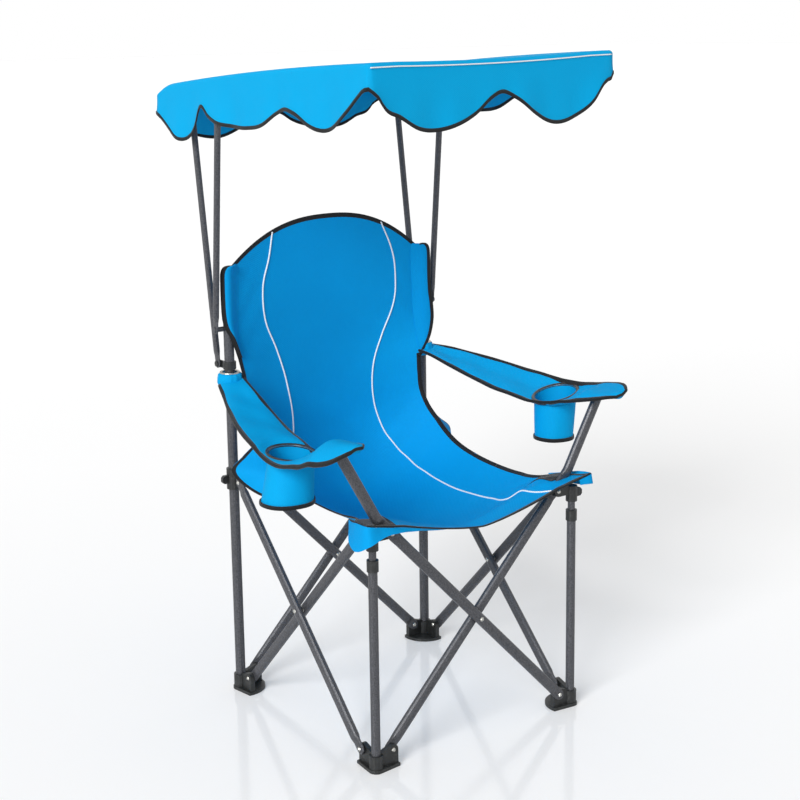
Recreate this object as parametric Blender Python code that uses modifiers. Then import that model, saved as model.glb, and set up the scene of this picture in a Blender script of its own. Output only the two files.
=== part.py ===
"""A quad-fold camping chair with cup holder arms and a sun canopy that tilts.

Metres, +Z up, the front towards -Y. The origin is on the floor, under the middle of the
chair's bounding box. Four X frames join four feet to two sliding hubs on the uprights
and to two hubs on the telescoping front legs, so that one fold closes all four sides.
"""

import math

import bmesh
import bpy
import numpy as np
from mathutils import Matrix, Vector

# Folding frame
LEG_PITCH = 0.520
PIN_INSET = 0.040
PIN_LOW = 0.036
PIN_HIGH = 0.490
UPRIGHT_DIAMETER = 0.022
UPRIGHT_TOP = 0.950
LEG_DIAMETER = 0.019
LEG_TOP = 0.431
INNER_LEG_LOW = 0.200
TUBE_WALL = 0.0013
RUNNING_GAP = 0.00045
GAP = 0.0003
OVERRUN = 0.010

# Cross tubes, pressed flat where they are riveted, and the two that go on to the arms
CROSS_WIDTH = 0.022
CROSS_THICKNESS = 0.016
CROSS_FLAT = 0.0075
CROSS_GAP = 0.0024
PRESSED_SPREAD = 0.002
PRESSED_HALF = 0.016
PRESS_RUN = 0.012
ARM_PRESSED = 0.034
ARM_LEAD = 0.047
ARM_BEND_RADIUS = 0.045
ARM_LEAN = math.radians(30)

# Rivets
RIVET_DIAMETER = 0.005
RIVET_HEAD_DIAMETER = 0.0096
RIVET_HEAD_HEIGHT = 0.0022
WASHER_DIAMETER = 0.015

# Moulded feet, sliding hubs and front hubs
FOOT_REACH = 0.054
FOOT_BASE = 0.007
FOOT_BEVEL = 0.002
FOOT_SOCKET_TOP = 0.035
SOCKET_WALL = 0.0042
LUG_RIM = 0.0115
SLIDER_LENGTH = 0.046
HUB_LENGTH = 0.034
HUB_RISE = 0.006
HUB_CAP = 0.004
TIE_LENGTH = 0.014
TIE_HEIGHT = 0.018
TIE_THICKNESS = 0.009
COLLAR_LENGTH = 0.0235
COLLAR_WALL = 0.0022

# Sling of the seat and back
CLOTH = 0.003
SLING_TOP_RISE = 0.007
SLEEVE_LENGTH = 0.115
SLEEVE_WALL = 0.0028
SEAT_SAG = 0.080
SEAT_EDGE_RISE = 0.0035
SEAT_HUB_CLEARANCE = 0.002
SEAT_CORNER_RISE = 0.017
SEAT_CORNER_OUT = 0.030
SEAT_OVERHANG = 0.028
ARM_HOLE_CLEARANCE = 0.003

# Arms and cup holders
ARM_THICKNESS = 0.009
ARM_HALF_WIDTH = 0.054
ARM_BOW = 0.078
ARM_HIGH = 0.711
ARM_DIP = 0.064
ARM_SLEEVE_WALL = 0.008
ARM_SLEEVE_LENGTH = 0.030
CUP_RADIUS = 0.045
CUP_FORWARD_LEFT = 0.348
CUP_FORWARD_RIGHT = 0.387
CUP_DEPTH = 0.105
CUP_TAPER = 0.005
CUP_WALL = 0.0025
CUP_RING_WIRE = 0.0035

# Canopy, its struts and rails
STRUT_DIAMETER = 0.013
STRUT_FLAT = 0.006
STRUT_EYE = 0.009
STRUT_OUT = 0.031
RAIL_DIAMETER = 0.012
RAIL_ARCH = 0.006
RAIL_SLOPE = math.radians(4.1)
RAIL_FRONT = 0.515
RAIL_REAR = 0.176
FRONT_STRUT_FOOT = 0.824
FRONT_STRUT_HEAD = 1.349
FRONT_STRUT_LEAN = 0.047
REAR_STRUT_FOOT = 0.743
REAR_STRUT_BACK = 0.029
REAR_STRUT_HEAD = 0.154
PIN_DIAMETER = 0.006
PIN_HEAD_DIAMETER = 0.013
PIN_HEAD_HEIGHT = 0.002
PIN_SHOULDER_DIAMETER = 0.011
OPEN_PIN_PLAY = 0.0024
BRACKET_HEIGHT = 0.016
BRACKET_WALL = 0.003
CANOPY_CLEARANCE = 0.0015
CANOPY_FRONT = 0.543
CANOPY_REAR = 0.255
CANOPY_REAR_DROP = 0.018
CANOPY_EDGE = 0.065
CANOPY_SAG = 0.012
VALANCE_DEPTH = 0.131
VALANCE_FLARE = 0.004

# Sides of round pieces
TUBE_SIDES = 16
RIVET_SIDES = 10
SECTION_POINTS = 12
SECTION_POWER = 2.6
HALF_COLUMNS = 8

# Worked out from the driving sizes
half_pitch = LEG_PITCH / 2
pin_span = LEG_PITCH - 2 * PIN_INSET
cross_length = math.hypot(pin_span, PIN_HIGH - PIN_LOW)
cross_angle = math.atan2(PIN_HIGH - PIN_LOW, pin_span)
pin_middle = (PIN_LOW + PIN_HIGH) / 2
stack = (CROSS_THICKNESS + CROSS_GAP) / 2
lug_thickness = 2 * (stack - GAP) - CROSS_FLAT
press_radius = (CROSS_WIDTH + PRESSED_SPREAD) / 2
upright_radius = UPRIGHT_DIAMETER / 2
leg_radius = LEG_DIAMETER / 2
inner_leg_radius = leg_radius - TUBE_WALL - RUNNING_GAP
rivet_radius = RIVET_DIAMETER / 2
hub_top = PIN_HIGH + HUB_RISE
seat_over_hub = PIN_HIGH + press_radius + CLOTH / 2 + SEAT_HUB_CLEARANCE
seat_half = half_pitch - stack - CROSS_THICKNESS / 2 - CLOTH / 2 - 2 * GAP
sleeve_radius = upright_radius + GAP + SLEEVE_WALL
cup_outer_radius = CUP_RADIUS + CUP_WALL
pin_radius = PIN_DIAMETER / 2
front_strut_x = half_pitch + STRUT_OUT
rail_x = front_strut_x - STRUT_FLAT / 2 - RAIL_DIAMETER / 2 - 2 * GAP
rear_strut_x = rail_x - STRUT_FLAT / 2 - RAIL_DIAMETER / 2 - 2 * GAP
head_pin_y = half_pitch - FRONT_STRUT_LEAN
tail_pin_y = head_pin_y + REAR_STRUT_HEAD
bracket_pin_y = half_pitch + REAR_STRUT_BACK
canopy_half = front_strut_x + STRUT_DIAMETER / 2 + CANOPY_CLEARANCE
canopy_front_y = head_pin_y - CANOPY_FRONT
canopy_rear_y = head_pin_y + CANOPY_REAR
frame_y = -(canopy_front_y + canopy_rear_y) / 2

# Corners and sides, each a quarter turn on from the last
CORNERS = ("front_left", "front_right", "rear_right", "rear_left")
SIDES = ("front", "right", "rear", "left")

for leftover in list(bpy.data.objects):
    bpy.data.objects.remove(leftover)

chair = bpy.data.collections.new("camping_chair")
cutters = bpy.data.collections.new("cutters")
bpy.context.scene.collection.children.link(chair)
bpy.context.scene.collection.children.link(cutters)


def surface(name, colour, roughness, metallic=0.0):
    """A plain Principled material in the part's own colour."""
    made = bpy.data.materials.new(name)
    made.use_nodes = True
    shader = made.node_tree.nodes["Principled BSDF"]
    shader.inputs["Base Color"].default_value = (*colour, 1)
    shader.inputs["Roughness"].default_value = roughness
    shader.inputs["Metallic"].default_value = metallic
    made.diffuse_color = (*colour, 1)
    return made


steel = surface("grey_powder_coat", (0.068, 0.071, 0.078), 0.42, 0.3)
plastic = surface("black_nylon", (0.013, 0.014, 0.015), 0.5)
rivet_steel = surface("zinc_plated_steel", (0.62, 0.62, 0.61), 0.28, 1.0)
sling_cloth = surface("blue_polyester", (0.0, 0.23, 0.60), 0.8)
arm_cloth = surface("blue_padded_polyester", (0.0, 0.32, 0.72), 0.8)
canopy_cloth = surface("blue_canopy_polyester", (0.0, 0.36, 0.78), 0.75)
ring_plastic = surface("black_ring_plastic", (0.02, 0.02, 0.021), 0.45)


def in_room(point):
    """A point measured from the middle of the frame, in the part's own coordinates."""
    x, y, z = point
    return Vector((x, y + frame_y, z))


def quarter(turns):
    """The turn about the middle of the frame that leads to the next corners."""
    return Matrix.Rotation(turns * math.pi / 2, 4, "Z")


def helper(name, mesh):
    """A hidden helper solid, for joining and cutting."""
    made = bpy.data.objects.new(name, mesh)
    made.hide_render = True
    made.display_type = "WIRE"
    cutters.objects.link(made)
    return made


def baked(obj):
    """The object's evaluated mesh in its own coordinates, welded; the object is removed."""
    bpy.context.view_layer.update()
    graph = bpy.context.evaluated_depsgraph_get()
    mesh = bpy.data.meshes.new_from_object(obj.evaluated_get(graph))
    bm = bmesh.new()
    bm.from_mesh(mesh)
    bmesh.ops.remove_doubles(bm, verts=bm.verts, dist=GAP / 100)
    bm.to_mesh(mesh)
    bm.free()
    bpy.data.objects.remove(obj)
    return mesh


def turned(name, profile, steps=TUBE_SIDES):
    """A solid of revolution about Z from (radius, height) points, down its outer side."""
    mesh = bpy.data.meshes.new(name)
    edges = [(i, i + 1) for i in range(len(profile) - 1)]
    if min(radius for radius, _ in profile) > 0:
        edges.append((len(profile) - 1, 0))
    mesh.from_pydata([(radius, 0, height) for radius, height in profile], edges, [])
    obj = helper(name, mesh)
    screw = obj.modifiers.new("Screw", "SCREW")
    screw.steps = steps
    screw.render_steps = steps
    screw.use_merge_vertices = True
    screw.merge_threshold = GAP / 10
    return helper(name, baked(obj))


def pipe(name, radius, bore, low, high):
    """An upright round tube, open at both ends."""
    return turned(name, [(radius, high), (radius, low), (bore, low), (bore, high)])


def rod(name, radius, low, high, sides=TUBE_SIDES):
    """An upright closed cylinder."""
    bm = bmesh.new()
    lift = Matrix.Translation((0, 0, (low + high) / 2))
    bmesh.ops.create_cone(
        bm, cap_ends=True, segments=sides, radius1=radius, radius2=radius,
        depth=high - low, matrix=lift,
    )
    mesh = bpy.data.meshes.new(name)
    bm.to_mesh(mesh)
    bm.free()
    return helper(name, mesh)


def plate(name, outline, thickness, bevel=0.0):
    """A flat plate of a closed outline in X and Y, from the floor up."""
    curve = bpy.data.curves.new(name, "CURVE")
    curve.dimensions = "2D"
    curve.fill_mode = "BOTH"
    curve.extrude = thickness / 2
    line = curve.splines.new("POLY")
    line.points.add(len(outline) - 1)
    for point, (across, along) in zip(line.points, outline):
        point.co = (across, along, 0, 1)
    line.use_cyclic_u = True
    made = helper(name, baked(bpy.data.objects.new(name, curve)))
    if bevel:
        edge = made.modifiers.new("Bevel", "BEVEL")
        edge.width = bevel
        edge.segments = 1
        made = helper(name, baked(made))
    return moved(made, Matrix.Translation((0, 0, thickness / 2)))


def wall(name, outline, thickness):
    """A standing plate of a closed outline in X and Z, centred on its thickness in Y."""
    made = moved(plate(name, outline, thickness), Matrix.Translation((0, 0, -thickness / 2)))
    return moved(made, Matrix.Rotation(math.pi / 2, 4, "X"))


def moved(obj, matrix):
    """The helper with its mesh moved, so that its origin stays where it was."""
    obj.data.transform(matrix)
    return obj


def along(axis):
    """The turn that lays an upright solid along X or Y, with its top towards the plus end."""
    if axis == "X":
        return Matrix.Rotation(math.pi / 2, 4, "Y")
    return Matrix.Rotation(-math.pi / 2, 4, "X")


def arc(centre, radius, start, end, points):
    """Points of an arc in degrees, both ends included."""
    angles = [math.radians(start + (end - start) * i / (points - 1)) for i in range(points)]
    return [
        (centre[0] + radius * math.cos(angle), centre[1] + radius * math.sin(angle))
        for angle in angles
    ]


def joined(base, added=(), cut=()):
    """Joins the added helpers to the base, cuts the others away, and bakes the result."""
    steps = [(solid, "UNION") for solid in added] + [(solid, "DIFFERENCE") for solid in cut]
    for solid, operation in steps:
        modifier = base.modifiers.new(operation, "BOOLEAN")
        modifier.operation = operation
        modifier.solver = "EXACT"
        modifier.object = solid
    mesh = baked(base)
    for solid, _ in steps:
        bpy.data.objects.remove(solid)
    return mesh


def mirrored(mesh):
    """The mesh's mirror image across the middle of the chair."""
    made = mesh.copy()
    made.transform(Matrix.Scale(-1, 4, (1, 0, 0)))
    made.flip_normals()
    return made


def finished(name, mesh, material, body, place=None, sharp=35):
    """A part on its body, from a mesh measured from the middle of the frame."""
    obj = bpy.data.objects.new(name, mesh)
    if not mesh.materials:
        mesh.materials.append(material)
    mesh.shade_smooth()
    mesh.set_sharp_from_angle(angle=math.radians(sharp))
    chair.objects.link(obj)
    obj.parent = bodies[body]
    to_body = Matrix.Translation(in_room((0, 0, 0)) - bodies[body].location)
    obj.matrix_basis = to_body @ (place or Matrix())
    return obj


def loft(name, stations):
    """A closed bar through oval sections: (centre, width direction, half width, half depth).

    The depth lies along Y. Every section is the same unit superellipse, so that the
    faces between them are plain quads.
    """
    bm = bmesh.new()
    rings = []
    for centre, across, half_width, half_depth in stations:
        ring = []
        for i in range(SECTION_POINTS):
            angle = 2 * math.pi * (i + 0.5) / SECTION_POINTS
            wide = math.copysign(abs(math.cos(angle)) ** (2 / SECTION_POWER), math.cos(angle))
            deep = math.copysign(abs(math.sin(angle)) ** (2 / SECTION_POWER), math.sin(angle))
            offset = Vector((across[0], 0, across[1])) * wide * half_width
            place = Vector((centre[0], 0, centre[1])) + offset
            ring.append(bm.verts.new(place + Vector((0, deep * half_depth, 0))))
        rings.append(ring)
    for low, high in zip(rings, rings[1:]):
        for i in range(SECTION_POINTS):
            j = (i + 1) % SECTION_POINTS
            bm.faces.new((low[i], low[j], high[j], high[i]))
    bm.faces.new(rings[0])
    bm.faces.new(rings[-1])
    bmesh.ops.recalc_face_normals(bm, faces=bm.faces)
    mesh = bpy.data.meshes.new(name)
    bm.to_mesh(mesh)
    bm.free()
    return helper(name, mesh)


def rounded_end(pin, direction, radius, half_depth, outward):
    """The sections of a pressed end that is round about its pin, out from or towards the bar."""
    sections = []
    for degrees in (80, 52, 26, 0):
        back = radius * math.sin(math.radians(degrees))
        centre = (pin[0] - direction[0] * back, pin[1] - direction[1] * back)
        half = radius * math.cos(math.radians(degrees))
        sections.append((centre, (-direction[1], direction[0]), half, half_depth))
    return sections[::-1] if outward else sections


def step(point, direction, length):
    """The point a length further on."""
    return (point[0] + direction[0] * length, point[1] + direction[1] * length)


def heading(angle):
    """The unit direction in X and Z at an angle above X."""
    return (math.cos(angle), math.sin(angle))


def pressed(point, direction, flat, full, length=PRESSED_HALF):
    """The section where the pressing ends and the one where the full tube begins."""
    side = (-direction[1], direction[0])
    near = (step(point, direction, length), side, flat[0], flat[1])
    far = (step(point, direction, length + PRESS_RUN), side, full[0], full[1])
    return [near, far]


def strut_bar(name, low, high, full, flat):
    """A straight tube in X and Z with both ends pressed flat and round about their pins."""
    run = (high[0] - low[0], high[1] - low[1])
    length = math.hypot(*run)
    way = (run[0] / length, run[1] / length)
    back = (-way[0], -way[1])
    side = (-way[1], way[0])
    top = [(point, side, width, depth) for point, _, width, depth in pressed(high, back, flat, full)]
    stations = rounded_end(low, way, *flat, False) + pressed(low, way, flat, full) + top[::-1]
    stations += [(p, side, w, d) for p, _, w, d in rounded_end(high, back, *flat, True)]
    return loft(name, stations)


def arm_tube_points(top):
    """The bent end of a front cross tube: sections from the hub pin up to the arm."""
    low = (PIN_INSET, PIN_LOW)
    way = heading(cross_angle)
    full = (CROSS_WIDTH / 2, CROSS_THICKNESS / 2)
    bend_start = step(low, way, cross_length + ARM_LEAD)
    end_angle = math.pi / 2 - ARM_LEAN
    centre = step(bend_start, (-way[1], way[0]), ARM_BEND_RADIUS)
    stations = []
    for share in (0, 1 / 3, 2 / 3, 1):
        angle = cross_angle + (end_angle - cross_angle) * share
        direction = heading(angle)
        point = step(centre, (direction[1], -direction[0]), ARM_BEND_RADIUS)
        stations.append((point, (-direction[1], direction[0]), *full))
    way = heading(end_angle)
    stations.append((step(point, way, (top - point[1]) / way[1]), (-way[1], way[0]), *full))
    return stations


def cross_tube(name, arm_top=None):
    """A cross tube in X and Z, its pins bored, from a foot at the left to a hub at the right."""
    low = (PIN_INSET, PIN_LOW)
    high = (LEG_PITCH - PIN_INSET, PIN_HIGH)
    flat = (press_radius, CROSS_FLAT / 2)
    full = (CROSS_WIDTH / 2, CROSS_THICKNESS / 2)
    if arm_top is None:
        bar = strut_bar(name, low, high, full, flat)
    else:
        way = heading(cross_angle)
        back = (-way[0], -way[1])
        side = (-way[1], way[0])
        near = [(p, side, w, d) for p, _, w, d in pressed(high, back, flat, full)]
        stations = rounded_end(low, way, *flat, False) + pressed(low, way, flat, full)
        stations += near[::-1] + pressed(high, way, flat, full, ARM_PRESSED)
        stations += arm_tube_points(arm_top)
        bar = loft(name, stations)
    middle = ((low[0] + high[0]) / 2, pin_middle)
    bores = [bore_y(rivet_radius + GAP, point, CROSS_THICKNESS) for point in (low, middle, high)]
    return joined(bar, cut=bores)


def bore_y(radius, point, depth):
    """A cutter along Y through a point in X and Z."""
    cutter = rod("bore", radius, -depth / 2 - OVERRUN, depth / 2 + OVERRUN, RIVET_SIDES)
    moved(cutter, along("Y"))
    return moved(cutter, Matrix.Translation((point[0], 0, point[1])))


def rivet(name, low, high, washer=0.0):
    """A riveted pin along Z, with a domed head past each end of its grip."""
    head = RIVET_HEAD_DIAMETER / 2
    dome = head * 0.6
    profile = [(0, high + RIVET_HEAD_HEIGHT), (dome, high + RIVET_HEAD_HEIGHT), (head, high)]
    profile.append((rivet_radius, high))
    if washer:
        rim = WASHER_DIAMETER / 2
        profile += [(rivet_radius, washer / 2), (rim, washer / 2)]
        profile += [(rim, -washer / 2), (rivet_radius, -washer / 2)]
    profile += [(rivet_radius, low), (head, low)]
    profile += [(dome, low - RIVET_HEAD_HEIGHT), (0, low - RIVET_HEAD_HEIGHT)]
    return turned(name, profile, RIVET_SIDES).data


def foot_mesh(leg):
    """A moulded foot about its leg's axis, its two lugs towards +X and +Y."""
    socket = leg + GAP + SOCKET_WALL
    edge = lug_thickness
    lean = math.degrees(math.asin(edge / FOOT_REACH))
    outline = arc((0, 0), socket + FOOT_BEVEL, 180, 270, 5)
    outline += arc((0, 0), FOOT_REACH, -lean, 90 + lean, 13)
    base = plate("foot", outline, FOOT_BASE, FOOT_BEVEL)
    tower = rod("socket", socket, FOOT_BASE / 2, FOOT_SOCKET_TOP)
    rim = (PIN_INSET, PIN_LOW)
    shape = [(0, FOOT_BASE / 2), (PIN_INSET + LUG_RIM, FOOT_BASE / 2)]
    shape += arc(rim, LUG_RIM, 0, 120, 7)
    shape += [(0, FOOT_SOCKET_TOP - GAP)]
    lugs = [wall("lug", shape, lug_thickness) for _ in range(2)]
    moved(lugs[1], quarter(1))
    bores = [bore_y(rivet_radius + GAP, rim, lug_thickness) for _ in range(2)]
    moved(bores[1], quarter(1))
    bores.append(rod("bore", leg + GAP, FOOT_BASE, FOOT_SOCKET_TOP + OVERRUN))
    return joined(base, added=[tower, *lugs], cut=bores)


def hub_mesh(bore, low, high, tie, cap=0.0):
    """A moulded hub about its leg's axis, its two lugs towards +X and +Y and its tie outwards."""
    sleeve = rod("hub", bore + SOCKET_WALL, low, high)
    rim = (PIN_INSET, PIN_HIGH)
    shape = [(0, PIN_HIGH - LUG_RIM)] + arc(rim, LUG_RIM, -90, 90, 9)
    shape += [(0, min(high - GAP, PIN_HIGH + LUG_RIM))]
    lugs = [wall("lug", shape, lug_thickness) for _ in range(2)]
    moved(lugs[1], quarter(1))
    bores = [bore_y(rivet_radius + GAP, rim, lug_thickness) for _ in range(2)]
    moved(bores[1], quarter(1))
    bores.append(rod("bore", bore, low - OVERRUN, high - cap if cap else high + OVERRUN))
    half = TIE_HEIGHT / 2
    reach = bore + SOCKET_WALL + TIE_LENGTH
    middle = (low + high) / 2
    shape = [(bore + SOCKET_WALL / 2, middle - half), (reach - TIE_THICKNESS / 2, middle - half)]
    shape += [(reach, middle - half / 2), (reach, middle + half / 2)]
    shape += [(reach - TIE_THICKNESS / 2, middle + half), (bore + SOCKET_WALL / 2, middle + half)]
    boss = moved(wall("tie", shape, TIE_THICKNESS), Matrix.Rotation(math.radians(tie), 4, "Z"))
    return joined(sleeve, added=[*lugs, boss], cut=bores)


def corner_place(turns):
    """Where a piece made about a leg's axis goes, at the given corner."""
    return quarter(turns) @ Matrix.Translation((-half_pitch, -half_pitch, 0))


def make_corners():
    """Feet, legs, uprights, hubs, sliders and the rivets that join them to the cross tubes."""
    clear = CROSS_FLAT / 2 + GAP
    lug = lug_thickness / 2 + GAP
    pin_mesh = rivet("rivet", -lug, stack + clear)
    foot_meshes = {"front": foot_mesh(leg_radius), "rear": foot_mesh(upright_radius)}
    for turns, corner in enumerate(CORNERS):
        body = {"rear_left": "rear_left", "rear_right": "rear_right"}.get(corner, corner + "_leg")
        place = corner_place(turns)
        finished(f"foot_{corner}", foot_meshes[corner.split("_")[0]], plastic, body, place)
        hub_body = f"{corner}_slider" if corner.startswith("rear") else f"{corner}_hub"
        for level, height, owner in (("foot", PIN_LOW, body), ("hub", PIN_HIGH, hub_body)):
            way = 1 if level == "foot" else -1
            for number, axis in enumerate(("Y", "X")):
                reach = (PIN_INSET, 0) if axis == "Y" else (0, PIN_INSET)
                side = way if axis == "Y" else -way
                spot = Matrix.Translation((*reach, height))
                if side < 0:
                    spot = spot @ Matrix.Rotation(math.pi, 4, "Z")
                name = f"rivet_{level}_{corner}_{number + 1}"
                finished(name, pin_mesh, rivet_steel, owner, place @ spot @ along(axis))


def make_front_legs():
    """Telescoping front legs: outer tube, its collar, and the inner tube under the hub."""
    outer = pipe("leg", leg_radius, leg_radius - TUBE_WALL, FOOT_BASE + GAP, LEG_TOP).data
    inner_top = hub_top - HUB_CAP - GAP
    inner_bore = inner_leg_radius - TUBE_WALL
    inner = pipe("leg", inner_leg_radius, inner_bore, INNER_LEG_LOW, inner_top).data
    seat = leg_radius + GAP
    lip = inner_leg_radius + RUNNING_GAP
    rim = seat + COLLAR_WALL
    top = LEG_TOP + COLLAR_LENGTH / 2
    low = LEG_TOP - COLLAR_LENGTH / 2
    profile = [(rim, top), (rim, low), (seat, low), (seat, LEG_TOP + GAP), (lip, LEG_TOP + GAP)]
    collar = turned("collar", [*profile, (lip, top)]).data
    bore = inner_leg_radius + GAP
    low = hub_top - HUB_LENGTH
    for turns, side, tie in ((0, "left", 180), (1, "right", 270)):
        place = corner_place(turns)
        body = f"front_{side}"
        finished(f"leg_outer_{side}", outer, steel, body + "_leg", place)
        finished(f"leg_collar_{side}", collar, plastic, body + "_leg", place)
        finished(f"leg_inner_{side}", inner, steel, body + "_hub", place)
        hub = hub_mesh(bore, low, hub_top, tie, HUB_CAP)
        finished(f"hub_{side}", hub, plastic, body + "_hub", place)


def make_uprights():
    """Rear uprights with the pins of the front struts, their sliders and strut brackets."""
    flat = STRUT_FLAT / 2 + GAP
    shoulder = (upright_radius - TUBE_WALL * 2, STRUT_OUT - flat)
    pin = (STRUT_OUT - flat - OVERRUN, STRUT_OUT + flat)
    head = (STRUT_OUT + flat, STRUT_OUT + flat + PIN_HEAD_HEIGHT)
    lift = Matrix.Translation((0, 0, FRONT_STRUT_FOOT)) @ along("X")
    tube = pipe("upright", upright_radius, upright_radius - TUBE_WALL, FOOT_BASE + GAP, UPRIGHT_TOP)
    added = [
        moved(rod("shoulder", PIN_SHOULDER_DIAMETER / 2, *shoulder, RIVET_SIDES), lift),
        moved(rod("pin", pin_radius, pin[0], (pin[1] + head[1]) / 2, RIVET_SIDES), lift),
        moved(rod("head", PIN_HEAD_DIAMETER / 2, *head, RIVET_SIDES), lift),
    ]
    right = joined(tube, added=added)
    right.transform(Matrix.Translation((half_pitch, half_pitch, 0)))
    bracket = bracket_mesh()
    bore = upright_radius + RUNNING_GAP
    low = PIN_HIGH - SLIDER_LENGTH / 2
    for side, turns, tie in (("right", 2, 180), ("left", 3, 270)):
        body = f"rear_{side}"
        tube = right if side == "right" else mirrored(right)
        clamp = bracket if side == "right" else mirrored(bracket)
        finished(f"upright_{side}", tube, steel, body)
        finished(f"strut_bracket_{side}", clamp, plastic, body)
        slider = hub_mesh(bore, low, low + SLIDER_LENGTH, tie)
        finished(f"slider_{side}", slider, plastic, body + "_slider", corner_place(turns))


def bracket_mesh():
    """The right rear strut's clamp on the upright, its plate and its pin."""
    centre = Matrix.Translation((half_pitch, half_pitch, REAR_STRUT_FOOT))
    bore = upright_radius + GAP
    half = BRACKET_HEIGHT / 2
    ring = moved(rod("bracket", bore + BRACKET_WALL, -half, half), centre)
    flat = STRUT_FLAT / 2 + GAP
    plate_x = rear_strut_x - flat - BRACKET_WALL / 2
    shape = [(0, -half)] + arc((REAR_STRUT_BACK, 0), half, -90, 90, 9) + [(0, half)]
    ear = moved(wall("ear", shape, BRACKET_WALL), quarter(1))
    moved(ear, Matrix.Translation((plate_x, half_pitch, REAR_STRUT_FOOT)))
    spot = Matrix.Translation((rear_strut_x, bracket_pin_y, REAR_STRUT_FOOT)) @ along("X")
    pin = moved(rod("pin", pin_radius, -flat - BRACKET_WALL / 2, flat + GAP, RIVET_SIDES), spot)
    head = rod("head", PIN_HEAD_DIAMETER / 2, flat, flat + PIN_HEAD_HEIGHT, RIVET_SIDES)
    moved(head, spot)
    hole = moved(rod("bore", bore, -half - OVERRUN, half + OVERRUN), centre)
    return joined(ring, added=[ear, pin, head], cut=[hole])


def make_cross_tubes():
    """Four X frames of two cross tubes, with the rivet and washer at each middle."""
    plain = cross_tube("cross")
    arm = cross_tube("cross", arm_tube_top())
    grip = stack + CROSS_THICKNESS / 2 + GAP
    middle_rivet = rivet("rivet", -grip, grip, CROSS_GAP - 2 * GAP)
    owner = {"left": "left_inner", "rear": "rear_outer", "right": "right_outer"}
    for turns, side in enumerate(SIDES):
        before = SIDES[turns - 1]
        inner = Matrix.Translation((-half_pitch, -half_pitch + stack, 0))
        outer = Matrix.Translation((-half_pitch - stack, -half_pitch, 0)) @ quarter(1)
        inner_mesh = arm if side == "front" else plain
        outer_mesh = arm if before == "front" else plain
        finished(f"cross_{side}_inner", inner_mesh, steel, f"{side}_inner", quarter(turns) @ inner)
        finished(f"cross_{before}_outer", outer_mesh, steel, f"{before}_outer", quarter(turns) @ outer)
        spot = Matrix.Translation((0, -half_pitch, pin_middle)) @ along("Y")
        body = owner.get(side, "front_inner")
        finished(f"rivet_middle_{side}", middle_rivet, rivet_steel, body, quarter(turns) @ spot)


def blend(table, position):
    """A value read from (position, value) rows, straight between them."""
    return float(np.interp(position, [row[0] for row in table], [row[1] for row in table]))


# Along the arm from the upright to its front tip, as shares of the leg pitch
ARM_WIDTH_SHARES = (
    (0, 0.44), (0.1, 0.56), (0.25, 0.78), (0.45, 0.97), (0.6, 1), (0.78, 0.98),
    (0.92, 0.85), (1.0, 0.74), (1.06, 0.62), (1.1, 0.46), (1.125, 0.2),
)
ARM_DIP_SHARES = (
    (0, 0), (0.1, 0.28), (0.25, 0.62), (0.4, 0.87), (0.54, 1), (0.85, 1),
    (0.9, 0.74), (0.95, 0.42), (1.0, 0.36), (1.125, 0.3),
)


def arm_line(share):
    """The arm's middle line at a share of the leg pitch forward of the upright."""
    bow = ARM_BOW * (1 - (1 - min(share, 1)) ** 2)
    height = ARM_HIGH - ARM_DIP * blend(ARM_DIP_SHARES, share)
    return Vector((half_pitch + bow, half_pitch - LEG_PITCH * share, height))


def arm_tube_top():
    """The height of the arm tube's middle at its end, just under the arm's pad."""
    share = 1 - (stack + CROSS_THICKNESS / 2) / LEG_PITCH
    under = arm_line(share).z - ARM_THICKNESS / 2 - GAP
    return under - CROSS_WIDTH / 2 * math.sin(ARM_LEAN)


def arm_mesh(cup_forward):
    """An arm on the right, with its cup hole: a padded strap from the upright to the arm tube."""
    shares = [row[0] for row in ARM_WIDTH_SHARES]
    shares = sorted({*shares, *[row[0] for row in ARM_DIP_SHARES]})
    across = (-1, -0.5, 0, 0.5, 1)
    bm = bmesh.new()
    rows = []
    for share in shares:
        half = ARM_HALF_WIDTH * blend(ARM_WIDTH_SHARES, share)
        middle = arm_line(share)
        rows.append([bm.verts.new(middle + Vector((half * u, 0, 0))) for u in across])
    for low, high in zip(rows, rows[1:]):
        for i in range(len(across) - 1):
            bm.faces.new((low[i], high[i], high[i + 1], low[i + 1]))
    mesh = bpy.data.meshes.new("arm")
    bm.to_mesh(mesh)
    bm.free()
    pad = thickened(helper("arm", mesh), ARM_THICKNESS)
    bore = upright_radius + GAP
    half = ARM_SLEEVE_LENGTH / 2
    spot = Matrix.Translation((half_pitch, half_pitch, ARM_HIGH))
    sleeve = moved(rod("sleeve", bore + ARM_SLEEVE_WALL, -half, half), spot)
    hole = moved(rod("bore", bore, -half - OVERRUN, half + OVERRUN), spot)
    cup = Matrix.Translation(arm_line(cup_forward / LEG_PITCH))
    cup_hole = rod("cup", cup_outer_radius + GAP, -OVERRUN, OVERRUN, TUBE_SIDES * 2)
    return joined(pad, added=[sleeve], cut=[hole, moved(cup_hole, cup)])


def thickened(sheet, thickness):
    """A closed solid from an open sheet, half its thickness on each side."""
    solid = sheet.modifiers.new("Solidify", "SOLIDIFY")
    solid.thickness = thickness
    solid.offset = 0
    return helper(sheet.name, baked(sheet))


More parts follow.
